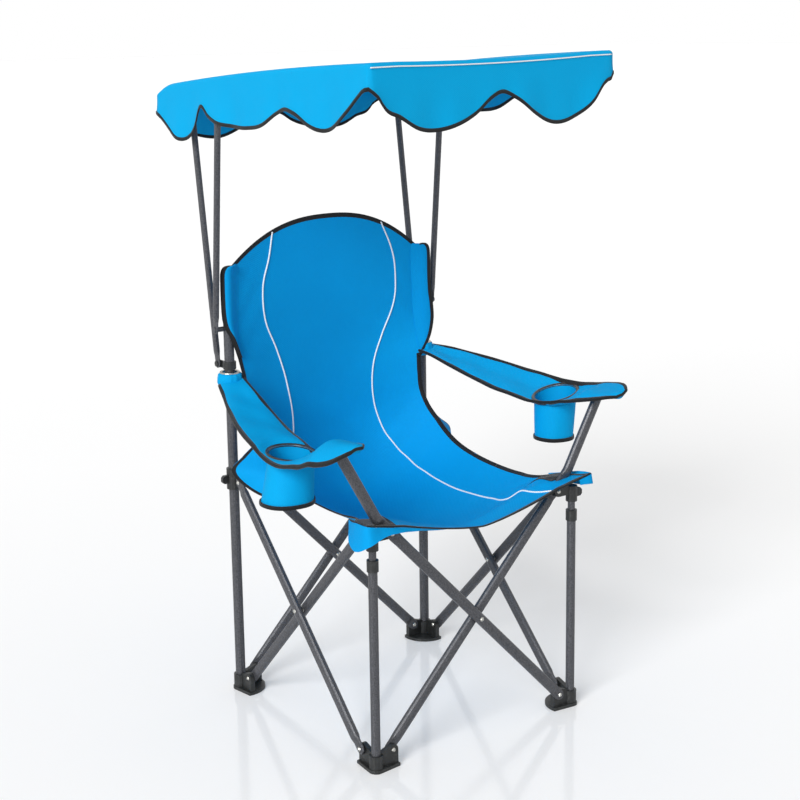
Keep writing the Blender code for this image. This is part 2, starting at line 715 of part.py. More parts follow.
def make_arms():
    """Padded arms, each with a cup pocket hung in its hole and the pocket's ring."""
    rim = ARM_THICKNESS / 2 + GAP + 2 * CUP_RING_WIRE
    floor = rim - CUP_DEPTH
    low = cup_outer_radius - CUP_TAPER
    profile = [(cup_outer_radius, rim), (low, floor), (0, floor), (0, floor + CUP_WALL)]
    profile += [(low - CUP_WALL, floor + CUP_WALL), (CUP_RADIUS, rim)]
    pocket = turned_cup("pocket", profile)
    ring_radius = cup_outer_radius + GAP + CUP_RING_WIRE
    level = ARM_THICKNESS / 2 + GAP + CUP_RING_WIRE
    circle = [
        (ring_radius + x, level + z) for x, z in arc((0, 0), CUP_RING_WIRE, 90, -210, 6)
    ]
    ring = turned("ring", circle, TUBE_SIDES * 2).data
    for side, sign, forward in (("left", -1, CUP_FORWARD_LEFT), ("right", 1, CUP_FORWARD_RIGHT)):
        centre = arm_line(forward / LEG_PITCH)
        spot = Matrix.Translation((sign * centre.x, centre.y, centre.z))
        pad = arm_mesh(forward) if sign > 0 else mirrored(arm_mesh(forward))
        finished(f"armrest_{side}", pad, arm_cloth, f"rear_{side}")
        finished(f"cup_pocket_{side}", pocket, arm_cloth, f"rear_{side}", spot)
        finished(f"cup_ring_{side}", ring, ring_plastic, f"rear_{side}", spot)


def turned_cup(name, profile):
    """A cup turned from an open profile that starts and ends at its rim."""
    mesh = bpy.data.meshes.new(name)
    edges = [(i, (i + 1) % len(profile)) for i in range(len(profile)) if i != 2]
    mesh.from_pydata([(radius, 0, height) for radius, height in profile], edges, [])
    obj = helper(name, mesh)
    screw = obj.modifiers.new("Screw", "SCREW")
    screw.steps = TUBE_SIDES * 2
    screw.render_steps = TUBE_SIDES * 2
    screw.use_merge_vertices = True
    screw.merge_threshold = GAP / 10
    return baked(obj)


# Rows of the back from its top edge down: the edge's depth and the middle's as shares of half
# the leg pitch, the two heights as shares of the upright's length above the upper pins, and
# how far the edge is drawn in as a share of half the leg pitch
BACK_ROW_SHARES = (
    (1.000, 1.008, 1.015, 1.215, 0.000),
    (1.000, 1.023, 0.924, 1.076, 0.000),
    (1.000, 1.031, 0.837, 0.935, 0.000),
    (1.000, 1.038, 0.765, 0.804, 0.000),
    (0.994, 1.050, 0.674, 0.674, 0.005),
    (0.962, 1.061, 0.580, 0.543, 0.016),
    (0.915, 1.065, 0.483, 0.413, 0.032),
    (0.892, 1.061, 0.387, 0.283, 0.043),
    (0.865, 1.042, 0.300, 0.152, 0.047),
    (0.788, 0.981, 0.226, 0.033, 0.041),
    (0.654, 0.865, 0.159, -0.065, 0.032),
)
# Rows of the seat from the back: the edge's and the middle's depth as shares of half the leg
# pitch, the middle's height as a share of the sag, the edge's rise and spread as shares of the
# rise over the hubs and of the spread of the front corners, and how sharply the row hangs
SEAT_ROW_SHARES = (
    (0.492, 0.712, -0.775, 3.45, 0.0, 1.9),
    (0.327, 0.423, -0.975, 1.95, 0.0, 1.9),
    (0.115, 0.115, -1.000, 0.95, 0.0, 1.9),
    (-0.154, -0.192, -0.950, 0.33, 0.0, 1.9),
    (-0.462, -0.500, -0.825, 0.25, 0.0, 1.87),
    (-0.685, -0.731, -0.660, 0.70, 0.03, 1.55),
)
# Rows of the seat's front, over the hubs: the depth as a share of the way from the lugs' ends
# to the front edge, the middle's height as a share of the sag, and the corner's rise and
# spread as shares of the front corners'
FRONT_ROW_SHARES = (
    (0.0, -0.51, 0.25, 0.55),
    (0.75, -0.39, 0.7, 0.85),
    (1.0, -0.3, 1.0, 1.0),
)


def sling_rows():
    """Each row of the sling as points from its middle to its edge, for the right half."""
    rise = UPRIGHT_TOP - PIN_HIGH
    edge = half_pitch - (upright_radius + sleeve_radius) / 2 - GAP / 2
    rows = []
    for number, row in enumerate(BACK_ROW_SHARES):
        edge_depth, middle_depth, edge_height, middle_height, drawn = row
        outer = Vector((edge - drawn * half_pitch, edge_depth * half_pitch, 0))
        outer.z = PIN_HIGH + edge_height * rise
        middle = Vector((0, middle_depth * half_pitch, PIN_HIGH + middle_height * rise))
        rows.append(hanging(outer, middle, 2.4 if number < 3 else 2.1))
    low = PIN_HIGH + SEAT_EDGE_RISE
    corner_out = half_pitch + SEAT_CORNER_OUT - seat_half
    for edge_depth, middle_depth, sag, over, spread, power in SEAT_ROW_SHARES:
        outer = Vector((seat_half + spread * corner_out, edge_depth * half_pitch, 0))
        outer.z = low + over * (seat_over_hub - low)
        middle = Vector((0, middle_depth * half_pitch, PIN_HIGH + sag * SEAT_SAG))
        rows.append(hanging(outer, middle, power))
    first = -half_pitch + PIN_INSET + press_radius / 2
    front = -half_pitch - SEAT_OVERHANG
    for way, sag, corner_rise, spread in FRONT_ROW_SHARES:
        outer = Vector((seat_half + spread * corner_out, first + (front - first) * way, 0))
        outer.z = seat_over_hub + corner_rise * SEAT_CORNER_RISE
        middle = Vector((0, outer.y, PIN_HIGH + sag * SEAT_SAG))
        lug_end = half_pitch - PIN_INSET - press_radius - 2 * CLOTH
        rows.append(hanging(outer, middle, 1.4, Vector((lug_end, outer.y, seat_over_hub))))
    return rows


def hanging(outer, middle, power, shoulder=None):
    """Points of half a row, hung between its edge or its shoulder and its middle."""
    rest = shoulder or outer
    points = []
    for i in range(HALF_COLUMNS + 1):
        across = outer.x * i / HALF_COLUMNS
        if across <= rest.x:
            point = middle.lerp(rest, (across / rest.x) ** power)
        else:
            point = rest.lerp(outer, (across - rest.x) / (outer.x - rest.x))
        points.append((across, point.y, point.z))
    return points


def make_sling():
    """Seat and back in one hanging sheet, with sleeves on the uprights and arm tube holes."""
    bm = bmesh.new()
    grid = []
    for half in sling_rows():
        left = [(-x, y, z) for x, y, z in half[:0:-1]]
        grid.append([bm.verts.new(point) for point in left + half])
    for high, low in zip(grid, grid[1:]):
        for i in range(2 * HALF_COLUMNS):
            bm.faces.new((high[i], low[i], low[i + 1], high[i + 1]))
    mesh = bpy.data.meshes.new("sling")
    bm.to_mesh(mesh)
    bm.free()
    sheet = thickened(helper("sling", mesh), CLOTH)
    top = UPRIGHT_TOP + SLING_TOP_RISE
    low = top - SLEEVE_LENGTH
    added = []
    cut = []
    for sign in (-1, 1):
        spot = Matrix.Translation((sign * half_pitch, half_pitch, 0))
        added.append(moved(rod("sleeve", sleeve_radius, low, top), spot))
        bore = rod("bore", upright_radius + GAP, low - OVERRUN, top + OVERRUN)
        cut.append(moved(bore, spot))
        cut.append(arm_hole(sign))
    finished("sling", joined(sheet, added=added, cut=cut), sling_cloth, "rear_left", sharp=50)


def arm_hole(sign):
    """The cutter for the slot that an arm tube passes through, on the left or the right."""
    way = heading(cross_angle)
    start = step((-half_pitch + LEG_PITCH - PIN_INSET, PIN_HIGH), way, -ARM_LEAD)
    end = step(start, way, 4 * ARM_LEAD)
    half = (press_radius + ARM_HOLE_CLEARANCE, CROSS_THICKNESS / 2 + ARM_HOLE_CLEARANCE)
    side = (-way[1], way[0])
    cutter = loft("slot", [(start, side, *half), (end, side, *half)])
    if sign > 0:
        return moved(cutter, Matrix.Translation((0, -half_pitch + stack, 0)))
    moved(cutter, Matrix.Rotation(math.pi, 4, "Z"))
    return moved(cutter, Matrix.Translation((0, -half_pitch - stack, 0)))


def rail_height(y):
    """The height of a canopy rail's middle line at a depth from the middle of the frame."""
    middle = head_pin_y + (RAIL_REAR - RAIL_FRONT) / 2
    half = (RAIL_FRONT + RAIL_REAR) / 2

    def base(depth):
        return RAIL_ARCH * (1 - ((depth - middle) / half) ** 2) - depth * math.tan(RAIL_SLOPE)

    return FRONT_STRUT_HEAD + base(y) - base(head_pin_y)


def make_struts_and_rails():
    """On each side a front and a rear strut, and the canopy rail that both are pinned to."""
    full = (STRUT_DIAMETER / 2, STRUT_DIAMETER / 2)
    flat = (STRUT_EYE, STRUT_FLAT / 2)
    head_pin = (head_pin_y, FRONT_STRUT_HEAD)
    tail_pin = (tail_pin_y, rail_height(tail_pin_y))
    front = strut_bar("strut", (half_pitch, FRONT_STRUT_FOOT), head_pin, full, flat)
    ends = (half_pitch, FRONT_STRUT_FOOT), head_pin
    front = joined(front, cut=[bore_y(pin_radius + GAP, end, STRUT_FLAT) for end in ends])
    rear = strut_bar("strut", (bracket_pin_y, REAR_STRUT_FOOT), tail_pin, full, flat)
    foot = bore_y(pin_radius + GAP, (bracket_pin_y, REAR_STRUT_FOOT), STRUT_FLAT)
    rear = joined(rear, cut=[foot, bore_y(pin_radius + OPEN_PIN_PLAY, tail_pin, STRUT_FLAT)])
    rail = rail_mesh(head_pin, tail_pin)
    to_side = Matrix(((0, -1, 0, 0), (1, 0, 0, 0), (0, 0, 1, 0), (0, 0, 0, 1)))
    for mesh, x in ((front, front_strut_x), (rear, rear_strut_x), (rail, rail_x)):
        mesh.transform(Matrix.Translation((x, 0, 0)) @ to_side)
    for side in ("left", "right"):
        for name, mesh in (("strut_front", front), ("strut_rear", rear), ("rail", rail)):
            made = mesh if side == "right" else mirrored(mesh)
            body = "rail" if name == "rail" else name.split("_")[1] + "_strut"
            finished(f"{name}_{side}", made, steel, f"{body}_{side}")


def rail_mesh(head_pin, tail_pin):
    """A canopy rail in X and Z, with its outer pin in front and its inner pin behind."""
    rail = loft("rail", [
        ((y, rail_height(y)), (0, 1), RAIL_DIAMETER / 2, RAIL_DIAMETER / 2)
        for y in np.linspace(head_pin_y - RAIL_FRONT, head_pin_y + RAIL_REAR, 9)
    ])
    outer = RAIL_DIAMETER / 2 + 2 * GAP + STRUT_FLAT + GAP
    wide = PIN_HEAD_DIAMETER / 2 + OPEN_PIN_PLAY / 2
    added = []
    for (y, z), sign in ((head_pin, -1), (tail_pin, 1)):
        spot = Matrix.Translation((y, 0, z)) @ Matrix.Rotation(-sign * math.pi / 2, 4, "X")
        added.append(moved(rod("pin", pin_radius, 0, outer + GAP, RIVET_SIDES), spot))
        head = rod("head", wide, outer, outer + PIN_HEAD_HEIGHT, RIVET_SIDES)
        added.append(moved(head, spot))
    return joined(rail, added=added)


# The valance's lower edge: places along a side and across an end, as shares of the canopy's
# length from the front and of its width from the left, and how far it hangs there
SIDE_VALANCE_SHARES = (
    (0, 0.35), (0.07, 0.46), (0.11, 0.80), (0.165, 0.93), (0.235, 0.855), (0.3, 0.665),
    (0.343, 0.61), (0.385, 0.665), (0.44, 0.815), (0.52, 0.855), (0.6, 0.81), (0.67, 0.735),
    (0.715, 0.62), (0.755, 0.46), (0.79, 0.75), (0.83, 0.915), (0.875, 0.93), (0.93, 0.74),
    (1, 0.345),
)
END_VALANCE_SHARES = (
    (0, 0.37), (0.04, 0.635), (0.1, 0.77), (0.17, 0.935), (0.25, 0.975), (0.33, 0.9),
    (0.41, 0.75), (0.465, 0.57), (0.52, 0.49), (0.575, 0.595), (0.65, 0.83), (0.74, 1),
    (0.83, 0.945), (0.91, 0.75), (0.96, 0.505), (1, 0.42),
)


def canopy_height(across, y):
    """The inside height of the canopy's top at shares of its half width and at a depth."""
    line = rail_height(y) + STRUT_EYE + 2 * GAP
    start = tail_pin_y + 3 * STRUT_EYE
    behind = max(0, y - start) / (canopy_rear_y - start)
    inward = min(1, abs(across) * canopy_half / (canopy_half - CANOPY_EDGE))
    sag = CANOPY_SAG * (1 - inward ** 2)
    return line - sag - CANOPY_REAR_DROP * behind ** 2


def make_canopy():
    """The sun canopy: a top sheet and a scalloped valance round it, in one closed sheet."""
    half = canopy_half
    along_shares, side_depths = zip(*SIDE_VALANCE_SHARES)
    across_shares, end_depths = zip(*END_VALANCE_SHARES)
    front, rear = canopy_front_y + CLOTH, canopy_rear_y - CLOTH
    depths = [front + (rear - front) * share for share in along_shares]
    widths = [2 * share - 1 for share in across_shares]
    bm = bmesh.new()
    top = [[bm.verts.new((half * u, y, canopy_height(u, y))) for u in widths] for y in depths]
    for near, far in zip(top, top[1:]):
        for i in range(len(widths) - 1):
            bm.faces.new((near[i], near[i + 1], far[i + 1], far[i]))
    border = [(v, (0, -1), d) for v, d in zip(top[0], end_depths)][:-1]
    border += [(row[-1], (1, 0), d) for row, d in zip(top, side_depths)][:-1]
    border += [(v, (0, 1), d) for v, d in zip(top[-1], end_depths)][:0:-1]
    border += [(row[0], (-1, 0), d) for row, d in zip(top, side_depths)][:0:-1]
    rows = [[vert for vert, _, _ in border]]
    for share in (0.35, 0.7, 1):
        row = []
        for vert, out, depth in border:
            drop = VALANCE_DEPTH * depth * share
            flare = VALANCE_FLARE * share * depth
            row.append(bm.verts.new(vert.co + Vector((out[0] * flare, out[1] * flare, -drop))))
        rows.append(row)
    for high, low in zip(rows, rows[1:]):
        for i in range(len(border)):
            j = (i + 1) % len(border)
            bm.faces.new((high[i], low[i], low[j], high[j]))
    bmesh.ops.recalc_face_normals(bm, faces=bm.faces)
    mesh = bpy.data.meshes.new("canopy")
    bm.to_mesh(mesh)
    bm.free()
    sheet = helper("canopy", mesh)
    solid = sheet.modifiers.new("Solidify", "SOLIDIFY")
    solid.thickness = CLOTH
    solid.offset = 1
    solid.use_even_offset = True
    finished("canopy_cover", baked(sheet), canopy_cloth, "rail_left", sharp=50)


def make_bodies():
    """An empty on each body's joint, by name, from the middle of the frame."""
    half, inset = half_pitch, half_pitch - PIN_INSET
    low, high = PIN_LOW, PIN_HIGH
    places = {
        "rear_left": (0, -frame_y, 0),
        "left_inner": (-half + stack, inset, low),
        "left_outer": (-half, 0, pin_middle),
        "front_left_leg": (-half - stack, -inset, low),
        "rear_left_slider": (-half - stack, inset, high),
        "front_left_hub": (-half + stack, -inset, high),
        "rear_outer": (-inset, half + stack, low),
        "rear_inner": (0, half, pin_middle),
        "rear_right": (inset, half - stack, low),
        "rear_right_slider": (inset, half + stack, high),
        "right_outer": (half + stack, inset, low),
        "right_inner": (half, 0, pin_middle),
        "front_right_leg": (half - stack, -inset, low),
        "front_right_hub": (half + stack, -inset, high),
        "front_inner": (-inset, -half + stack, low),
        "front_outer": (0, -half, pin_middle),
    }
    for side, sign in (("left", -1), ("right", 1)):
        places[f"front_strut_{side}"] = (sign * front_strut_x, half_pitch, FRONT_STRUT_FOOT)
        places[f"rear_strut_{side}"] = (sign * rear_strut_x, bracket_pin_y, REAR_STRUT_FOOT)
        places[f"rail_{side}"] = (sign * front_strut_x, head_pin_y, FRONT_STRUT_HEAD)
    made = {}
    for name, place in places.items():
        empty = bpy.data.objects.new(f"joint_of_{name}", None)
        empty.empty_display_size = PIN_INSET
        empty.location = in_room(place)
        chair.objects.link(empty)
        made[name] = empty
    return made


bodies = make_bodies()
make_corners()
make_front_legs()
make_uprights()
make_cross_tubes()
make_sling()
make_arms()
make_struts_and_rails()
make_canopy()
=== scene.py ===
import math

import bpy
import numpy as np
from mathutils import Matrix, Vector


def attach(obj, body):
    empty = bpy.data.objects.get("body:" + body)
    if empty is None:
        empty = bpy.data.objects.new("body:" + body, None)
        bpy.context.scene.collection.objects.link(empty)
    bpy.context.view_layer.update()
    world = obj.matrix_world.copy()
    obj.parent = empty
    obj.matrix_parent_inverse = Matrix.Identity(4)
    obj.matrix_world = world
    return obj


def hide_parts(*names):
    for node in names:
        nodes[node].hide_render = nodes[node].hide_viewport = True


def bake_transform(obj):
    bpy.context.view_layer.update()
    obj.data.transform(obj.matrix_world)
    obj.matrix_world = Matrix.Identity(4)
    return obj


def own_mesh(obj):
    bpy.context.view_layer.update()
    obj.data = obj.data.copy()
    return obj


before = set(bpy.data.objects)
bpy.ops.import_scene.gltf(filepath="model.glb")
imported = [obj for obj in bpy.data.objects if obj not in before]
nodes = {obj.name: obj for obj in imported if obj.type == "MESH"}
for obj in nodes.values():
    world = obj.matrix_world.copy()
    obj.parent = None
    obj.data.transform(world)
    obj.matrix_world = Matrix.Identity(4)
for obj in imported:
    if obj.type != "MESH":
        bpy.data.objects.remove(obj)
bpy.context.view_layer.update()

# Tubes: uprights, telescoping legs, cross tubes, canopy struts and rails.
# Thin steel tube, bent and pressed flat where it is riveted, with a grey hammered powder coat.
# The coat beads up as it bakes, which leaves fine dark and light dimples with a soft gloss.


def ink(code):
    """An sRGB hex colour as linear light: c / 12.92 below 0.04045, else ((c + 0.055) / 1.055) ^ 2.4."""
    c = np.array([int(code[i:i + 2], 16) for i in (1, 3, 5)]) / 255
    return (*np.where(c <= 0.04045, c / 12.92, ((c + 0.055) / 1.055) ** 2.4).tolist(), 1)


def plug(material, node, inputs):
    """Sets a node's inputs: a socket, or a node's first output, is linked to each, and any other
    value is written on it."""
    for key, value in inputs.items():
        if isinstance(value, bpy.types.Node):
            value = value.outputs[0]
        if isinstance(value, bpy.types.NodeSocket):
            material.node_tree.links.new(value, node.inputs[key])
        else:
            node.inputs[key].default_value = value


def add(material, kind, inputs=None, **settings):
    """A new shader node of that kind with its settings, its values and its links."""
    node = material.node_tree.nodes.new("ShaderNode" + kind)
    for key, value in settings.items():
        setattr(node, key, value)
    plug(material, node, inputs or {})
    return node


def finish_of(name, **sockets):
    """A new material and its shader, with constant values on the shader's own sockets."""
    material = bpy.data.materials.new(name)
    material.use_nodes = True
    shader = material.node_tree.nodes["Principled BSDF"]
    plug(material, shader, sockets)
    return material, shader


def ramp(material, factor, *stops):
    """A colour ramp between two stops, each with its position and its sRGB hex colour."""
    node = add(material, "ValToRGB", {"Fac": factor})
    for element, (position, code) in zip(node.color_ramp.elements, stops):
        element.position, element.color = position, ink(code)
    return node


def dress(names, material):
    """Gives CAD nodes a material in all their slots."""
    for name in names:
        slots = nodes[name].data.materials
        slots.clear()
        slots.append(material)


BEAD_MM = 1.4  # a hammered coat beads at about 1 mm, drawn coarser so that it shows
powder_coat, coat = finish_of("hammered_powder_coat", Metallic=0.25)
place = add(powder_coat, "TexCoord").outputs["Object"]
beads = add(powder_coat, "TexVoronoi", {"Vector": place, "Scale": 1000 / BEAD_MM}, feature="SMOOTH_F1")
cloud = add(powder_coat, "TexNoise", {"Vector": place, "Scale": 420.0, "Detail": 5.0})
tone = ramp(powder_coat, cloud, (0.34, "#35363a"), (0.72, "#5e5f64"))
gloss = add(powder_coat, "MapRange", {"Value": beads, "To Min": 0.26, "To Max": 0.52})
dimple = add(powder_coat, "Bump", {"Height": beads, "Distance": 0.0005, "Strength": 0.5})
plug(powder_coat, coat, {"Base Color": tone, "Roughness": gloss, "Normal": dimple})
dress([n for n in nodes if n.startswith(("upright", "leg_inner", "leg_outer", "cross", "strut_front",
                                         "strut_rear", "rail"))], powder_coat)

# Moulded parts: feet, sliding hubs, front hubs, leg collars and strut brackets.
# Glass filled nylon, injection moulded in a spark eroded mould, so its satin skin has a fine
# even grain, with paler scuffs where it rubs on the ground and on the tubes.

GRAIN_MM = 1.1  # the real grain is finer, drawn coarser so that it shows
nylon, skin = finish_of("moulded_nylon", IOR=1.53)
place = add(nylon, "TexCoord").outputs["Object"]
grain = add(nylon, "TexNoise", {"Vector": place, "Scale": 1000 / GRAIN_MM, "Detail": 2.0})
scuff = add(nylon, "TexNoise", {"Vector": place, "Scale": 90.0, "Detail": 8.0, "Roughness": 0.7})
worn = ramp(nylon, scuff, (0.5, "#191b1b"), (0.8, "#3c3e3f"))
sheen = add(nylon, "MapRange", {"Value": scuff, "To Min": 0.34, "To Max": 0.58})
pits = add(nylon, "Bump", {"Height": grain, "Distance": 0.00025, "Strength": 0.6})
plug(nylon, skin, {"Base Color": worn, "Roughness": sheen, "Normal": pits})
dress([n for n in nodes if n.startswith(("foot", "hub", "slider", "leg_collar", "strut_bracket"))], nylon)

# Rivets: semi-tubular steel rivets with domed heads, zinc plated, set by a press.
# The plating is bright with a faint cloudy tarnish and fine scratches round the head.

zinc, plating = finish_of("zinc_plated_steel", Metallic=1.0)
place = add(zinc, "TexCoord").outputs["Object"]
cloud = add(zinc, "TexNoise", {"Vector": place, "Scale": 320.0, "Detail": 6.0})
tone = ramp(zinc, cloud, (0.3, "#96968f"), (0.7, "#d6d5d0"))
dull = add(zinc, "MapRange", {"Value": cloud, "To Min": 0.2, "To Max": 0.42})
plug(zinc, plating, {"Base Color": tone, "Roughness": dull})
dress([n for n in nodes if n.startswith("rivet")], zinc)

# Sling: seat and back cut as one panel of 600 denier polyester Oxford, coated on its back.
# It hangs between the uprights and the four hubs, so it sags both ways and wraps the sitter.
# A basket weave of flat filament yarn, with a soft sheen along the threads.

HALF_PITCH = 0.26       # half the distance between two legs
MIDDLE_Y = -0.069       # the legs' middle in the frame that all pieces share
PIN_HIGH = 0.49         # the upper pins' height
RISE = 0.46             # from those pins to the tops of the uprights
SAG = 0.08
EDGE_X = 0.2473         # the back's edge, inside its sleeve on the upright
SEAT_X, CORNER_X = 0.2393, 0.29
LUG_X, LUG_TOP = 0.202, 0.5055
CLOTH = 0.0016
THREAD_MM = 2.2         # the yarn lies every 0.5 mm, drawn coarser so that it shows

# Rows of the sling from its top edge to its front edge: the edge point's x, y and z, the
# middle's y and z, and how sharply the row hangs between them
back = np.array([
    (1.000, 1.008, 1.015, 1.215, 0.000), (1.000, 1.023, 0.924, 1.076, 0.000),
    (1.000, 1.031, 0.837, 0.935, 0.000), (1.000, 1.038, 0.765, 0.804, 0.000),
    (0.994, 1.050, 0.674, 0.674, 0.005), (0.962, 1.061, 0.580, 0.543, 0.016),
    (0.915, 1.065, 0.483, 0.413, 0.032), (0.892, 1.061, 0.387, 0.283, 0.043),
    (0.865, 1.042, 0.300, 0.152, 0.047), (0.788, 0.981, 0.226, 0.033, 0.041),
    (0.654, 0.865, 0.159, -0.065, 0.032)])
seat = np.array([
    (0.492, 0.712, -0.775, 3.45, 0.00, 1.90), (0.327, 0.423, -0.975, 1.95, 0.00, 1.90),
    (0.115, 0.115, -1.000, 0.95, 0.00, 1.90), (-0.154, -0.192, -0.950, 0.33, 0.00, 1.90),
    (-0.462, -0.500, -0.825, 0.25, 0.00, 1.87), (-0.685, -0.731, -0.660, 0.70, 0.03, 1.55)])
front = np.array([(0.0, -0.51, 0.25, 0.55), (0.75, -0.39, 0.70, 0.85), (1.0, -0.30, 1.00, 1.00)])
front_y = -0.214 - 0.074 * front[:, 0]
EDGE_ROWS = np.concatenate([
    np.stack([EDGE_X - back[:, 4] * HALF_PITCH, back[:, 0] * HALF_PITCH, PIN_HIGH + back[:, 2] * RISE], 1),
    np.stack([SEAT_X + seat[:, 4] * (CORNER_X - SEAT_X), seat[:, 0] * HALF_PITCH,
              PIN_HIGH + 0.0035 + seat[:, 3] * 0.0120], 1),
    np.stack([SEAT_X + front[:, 3] * (CORNER_X - SEAT_X), front_y, LUG_TOP + front[:, 2] * 0.017], 1)])
MIDDLE_ROWS = np.concatenate([
    np.stack([back[:, 1] * HALF_PITCH, PIN_HIGH + back[:, 3] * RISE], 1),
    np.stack([seat[:, 1] * HALF_PITCH, PIN_HIGH + seat[:, 2] * SAG], 1),
    np.stack([front_y, PIN_HIGH + front[:, 1] * SAG], 1)])
HANG = np.array([2.4] * 3 + [2.1] * 8 + seat[:, 5].tolist() + [1.4] * 3)
OVER_LUG = np.array([0.0] * 17 + [1.0] * 3)


def hanging_rows(across):
    """The sling's 20 rows at shares of their half width: y and z run from the middle's to the
    edge's with |share| ^ hang, and over the front lugs straight on from the lug to the corner."""
    edge, middle, hang, lug = (
        a.reshape(a.shape[:1] + (1,) * np.ndim(across) + a.shape[1:])
        for a in (EDGE_ROWS, MIDDLE_ROWS, HANG, OVER_LUG))
    x = np.abs(across) * edge[..., 0]
    rest_x = np.where(lug > 0, LUG_X, edge[..., 0])
    rest_z = np.where(lug > 0, LUG_TOP, edge[..., 2])
    bend = np.clip(x / rest_x, 0, 1) ** hang
    on = np.clip((x - rest_x) / np.maximum(edge[..., 0] - rest_x, 1e-6), 0, 1)
    y = middle[..., 0] + (edge[..., 1] - middle[..., 0]) * bend
    z = middle[..., 1] + (rest_z - middle[..., 1]) * bend + (edge[..., 2] - rest_z) * on
    return np.stack([across * edge[..., 0], y, z], -1)


centre_and_edge = hanging_rows(np.array([0.0, 1.0]))
STATIONS = np.concatenate([[0], np.cumsum(np.linalg.norm(np.diff(centre_and_edge, axis=0), axis=2).mean(1))])


# Soft folds of the cloth: their height, their place along and across with its reach each way, how
# many radians they turn in a metre, and how they lean outwards
FOLDS = ((0.0016, 0.50, 0.09, 0.72, 0.22, 95, 0.10),        # at the hips
         (0.0010, 0.93, 0.07, 0.80, 0.20, 120, -0.25),      # at the front corners
         (0.0008, 0.16, 0.12, 0.86, 0.16, 70, -0.30))       # at the shoulders


def hermite(share, gap, start, start_slope, end, end_slope):
    """A cubic over a gap, from a start to an end value with the slope given at each."""
    return (start * (1 + 2 * share) * (1 - share) ** 2 + start_slope * gap * share * (1 - share) ** 2
            + end * share * share * (3 - 2 * share) + end_slope * gap * share * share * (share - 1))


def sling_at(across, along):
    """Points of the sling at a share of its half width and a length from its top edge: a cubic
    through the rows whose slope at each row is that of its neighbours, with soft folds added."""
    rows = hanging_rows(across)
    slopes = np.gradient(rows, STATIONS, axis=0)
    first = np.clip(np.searchsorted(STATIONS, along, side="right") - 1, 0, len(STATIONS) - 2)
    gap = np.diff(STATIONS)[first][..., None]

    def pick(values, step):
        return np.take_along_axis(values, (first + step)[None, ..., None], 0)[0]

    point = hermite((along - STATIONS[first])[..., None] / gap, gap, pick(rows, 0), pick(slopes, 0),
                    pick(rows, 1), pick(slopes, 1))
    side = np.abs(across)
    fold = sum(height * np.exp(-((along - at) / long) ** 2 - ((side - out) / wide) ** 2)
               * np.sin(turns * (along + lean * side)) for height, at, long, out, wide, turns, lean in FOLDS)
    point[..., 1] -= fold * np.clip(1 - along / 0.7, 0, 1)
    point[..., 2] += fold * np.clip(along / 0.7, 0, 1)
    return point


def unit(vectors):
    """The vectors at length one."""
    return vectors / np.linalg.norm(vectors, axis=-1, keepdims=True)


def facing(point_of, across, along):
    """Unit normals of a cloth on the sitter's side: the step along the cloth crossed with the step
    across it."""
    step = 1e-4
    down = point_of(across, along + step) - point_of(across, along - step)
    side = point_of(across + step, along) - point_of(across - step, along)
    return unit(np.cross(down, side))


def surface(name, points, weave, material, closed=False, caps=()):
    """A mesh over a grid of points: row r and column c meet the next row and column in one quad.
    closed joins the last column to the first, and caps names the rows of such a tube, 0 or -1, that
    a face shuts. weave is the cloth's own length and width at each point, one column more if closed."""
    rows, columns = points.shape[:2]
    r, c = (g.ravel() for g in np.meshgrid(
        np.arange(rows - 1), np.arange(columns - (not closed)), indexing="ij"))
    steps = ((0, 0), (0, 1), (1, 1), (1, 0))
    quads = np.stack([(r + a) * columns + (c + b) % columns for a, b in steps], 1)
    uv = np.stack([weave[r + a, c + b] for a, b in steps], 1).reshape(-1, 2)
    faces = quads.tolist()
    for cap in caps:
        rim_row = list(range(columns)) if cap == 0 else list(range((rows - 1) * columns, rows * columns))
        faces.append(rim_row[::-1] if cap == 0 else rim_row)
        uv = np.concatenate([uv, weave[cap, :columns][::-1] if cap == 0 else weave[cap, :columns]])
    at = points.reshape(-1, 3) + (0, MIDDLE_Y, 0)
    if closed:
        a, b, d, e = at[quads[:, 0]], at[quads[:, 1]], at[quads[:, 2]], at[quads[:, 3]]
        middle = at.mean(0)
        volume = sum(((p - middle) * np.cross(q - middle, s - middle)).sum()
                     for p, q, s in ((a, b, d), (a, d, e)))
        if volume < 0:
            faces = [face[::-1] for face in faces]
            sizes = np.cumsum([0] + [len(face) for face in faces])
            uv = np.concatenate([uv[i:j][::-1] for i, j in zip(sizes, sizes[1:])])
    mesh = bpy.data.meshes.new(name)
    mesh.from_pydata(at.tolist(), [], faces)
    mesh.polygons.foreach_set("use_smooth", np.ones(len(mesh.polygons), bool))
    mesh.uv_layers.new(name="weave").data.foreach_set("uv", uv.astype(np.float32).ravel())
    edge_of = np.zeros(len(mesh.loops), np.int32)
    mesh.loops.foreach_get("edge_index", edge_of)
    rim = np.bincount(edge_of, minlength=len(mesh.edges)) == 1
    mesh.attributes.new("sharp_edge", "BOOLEAN", "EDGE").data.foreach_set("value", rim)
    mesh.materials.append(material)
    piece = bpy.data.objects.new(name, mesh)
    bpy.context.scene.collection.objects.link(piece)
    return piece


def thicken(piece, thickness):
    """Gives a cloth its thickness, half on each side of its surface."""
    wall = piece.modifiers.new("thickness", "SOLIDIFY")
    wall.thickness, wall.offset = thickness, 0
    return piece


def circle(sides):
    """Angles once round a circle, without the last one, which is the first again."""
    return np.arange(sides) * 2 * math.pi / sides


def lengths(path):
    """Each point's length along its path: the running sum of the steps."""
    return np.concatenate([[0], np.cumsum(np.linalg.norm(np.diff(path, axis=0), axis=1))])


def round_weave(path, around):
    """The cloth's own coordinates on a tube: the length along it, and the way round it."""
    return np.stack(np.meshgrid(lengths(path), around, indexing="ij"), -1)


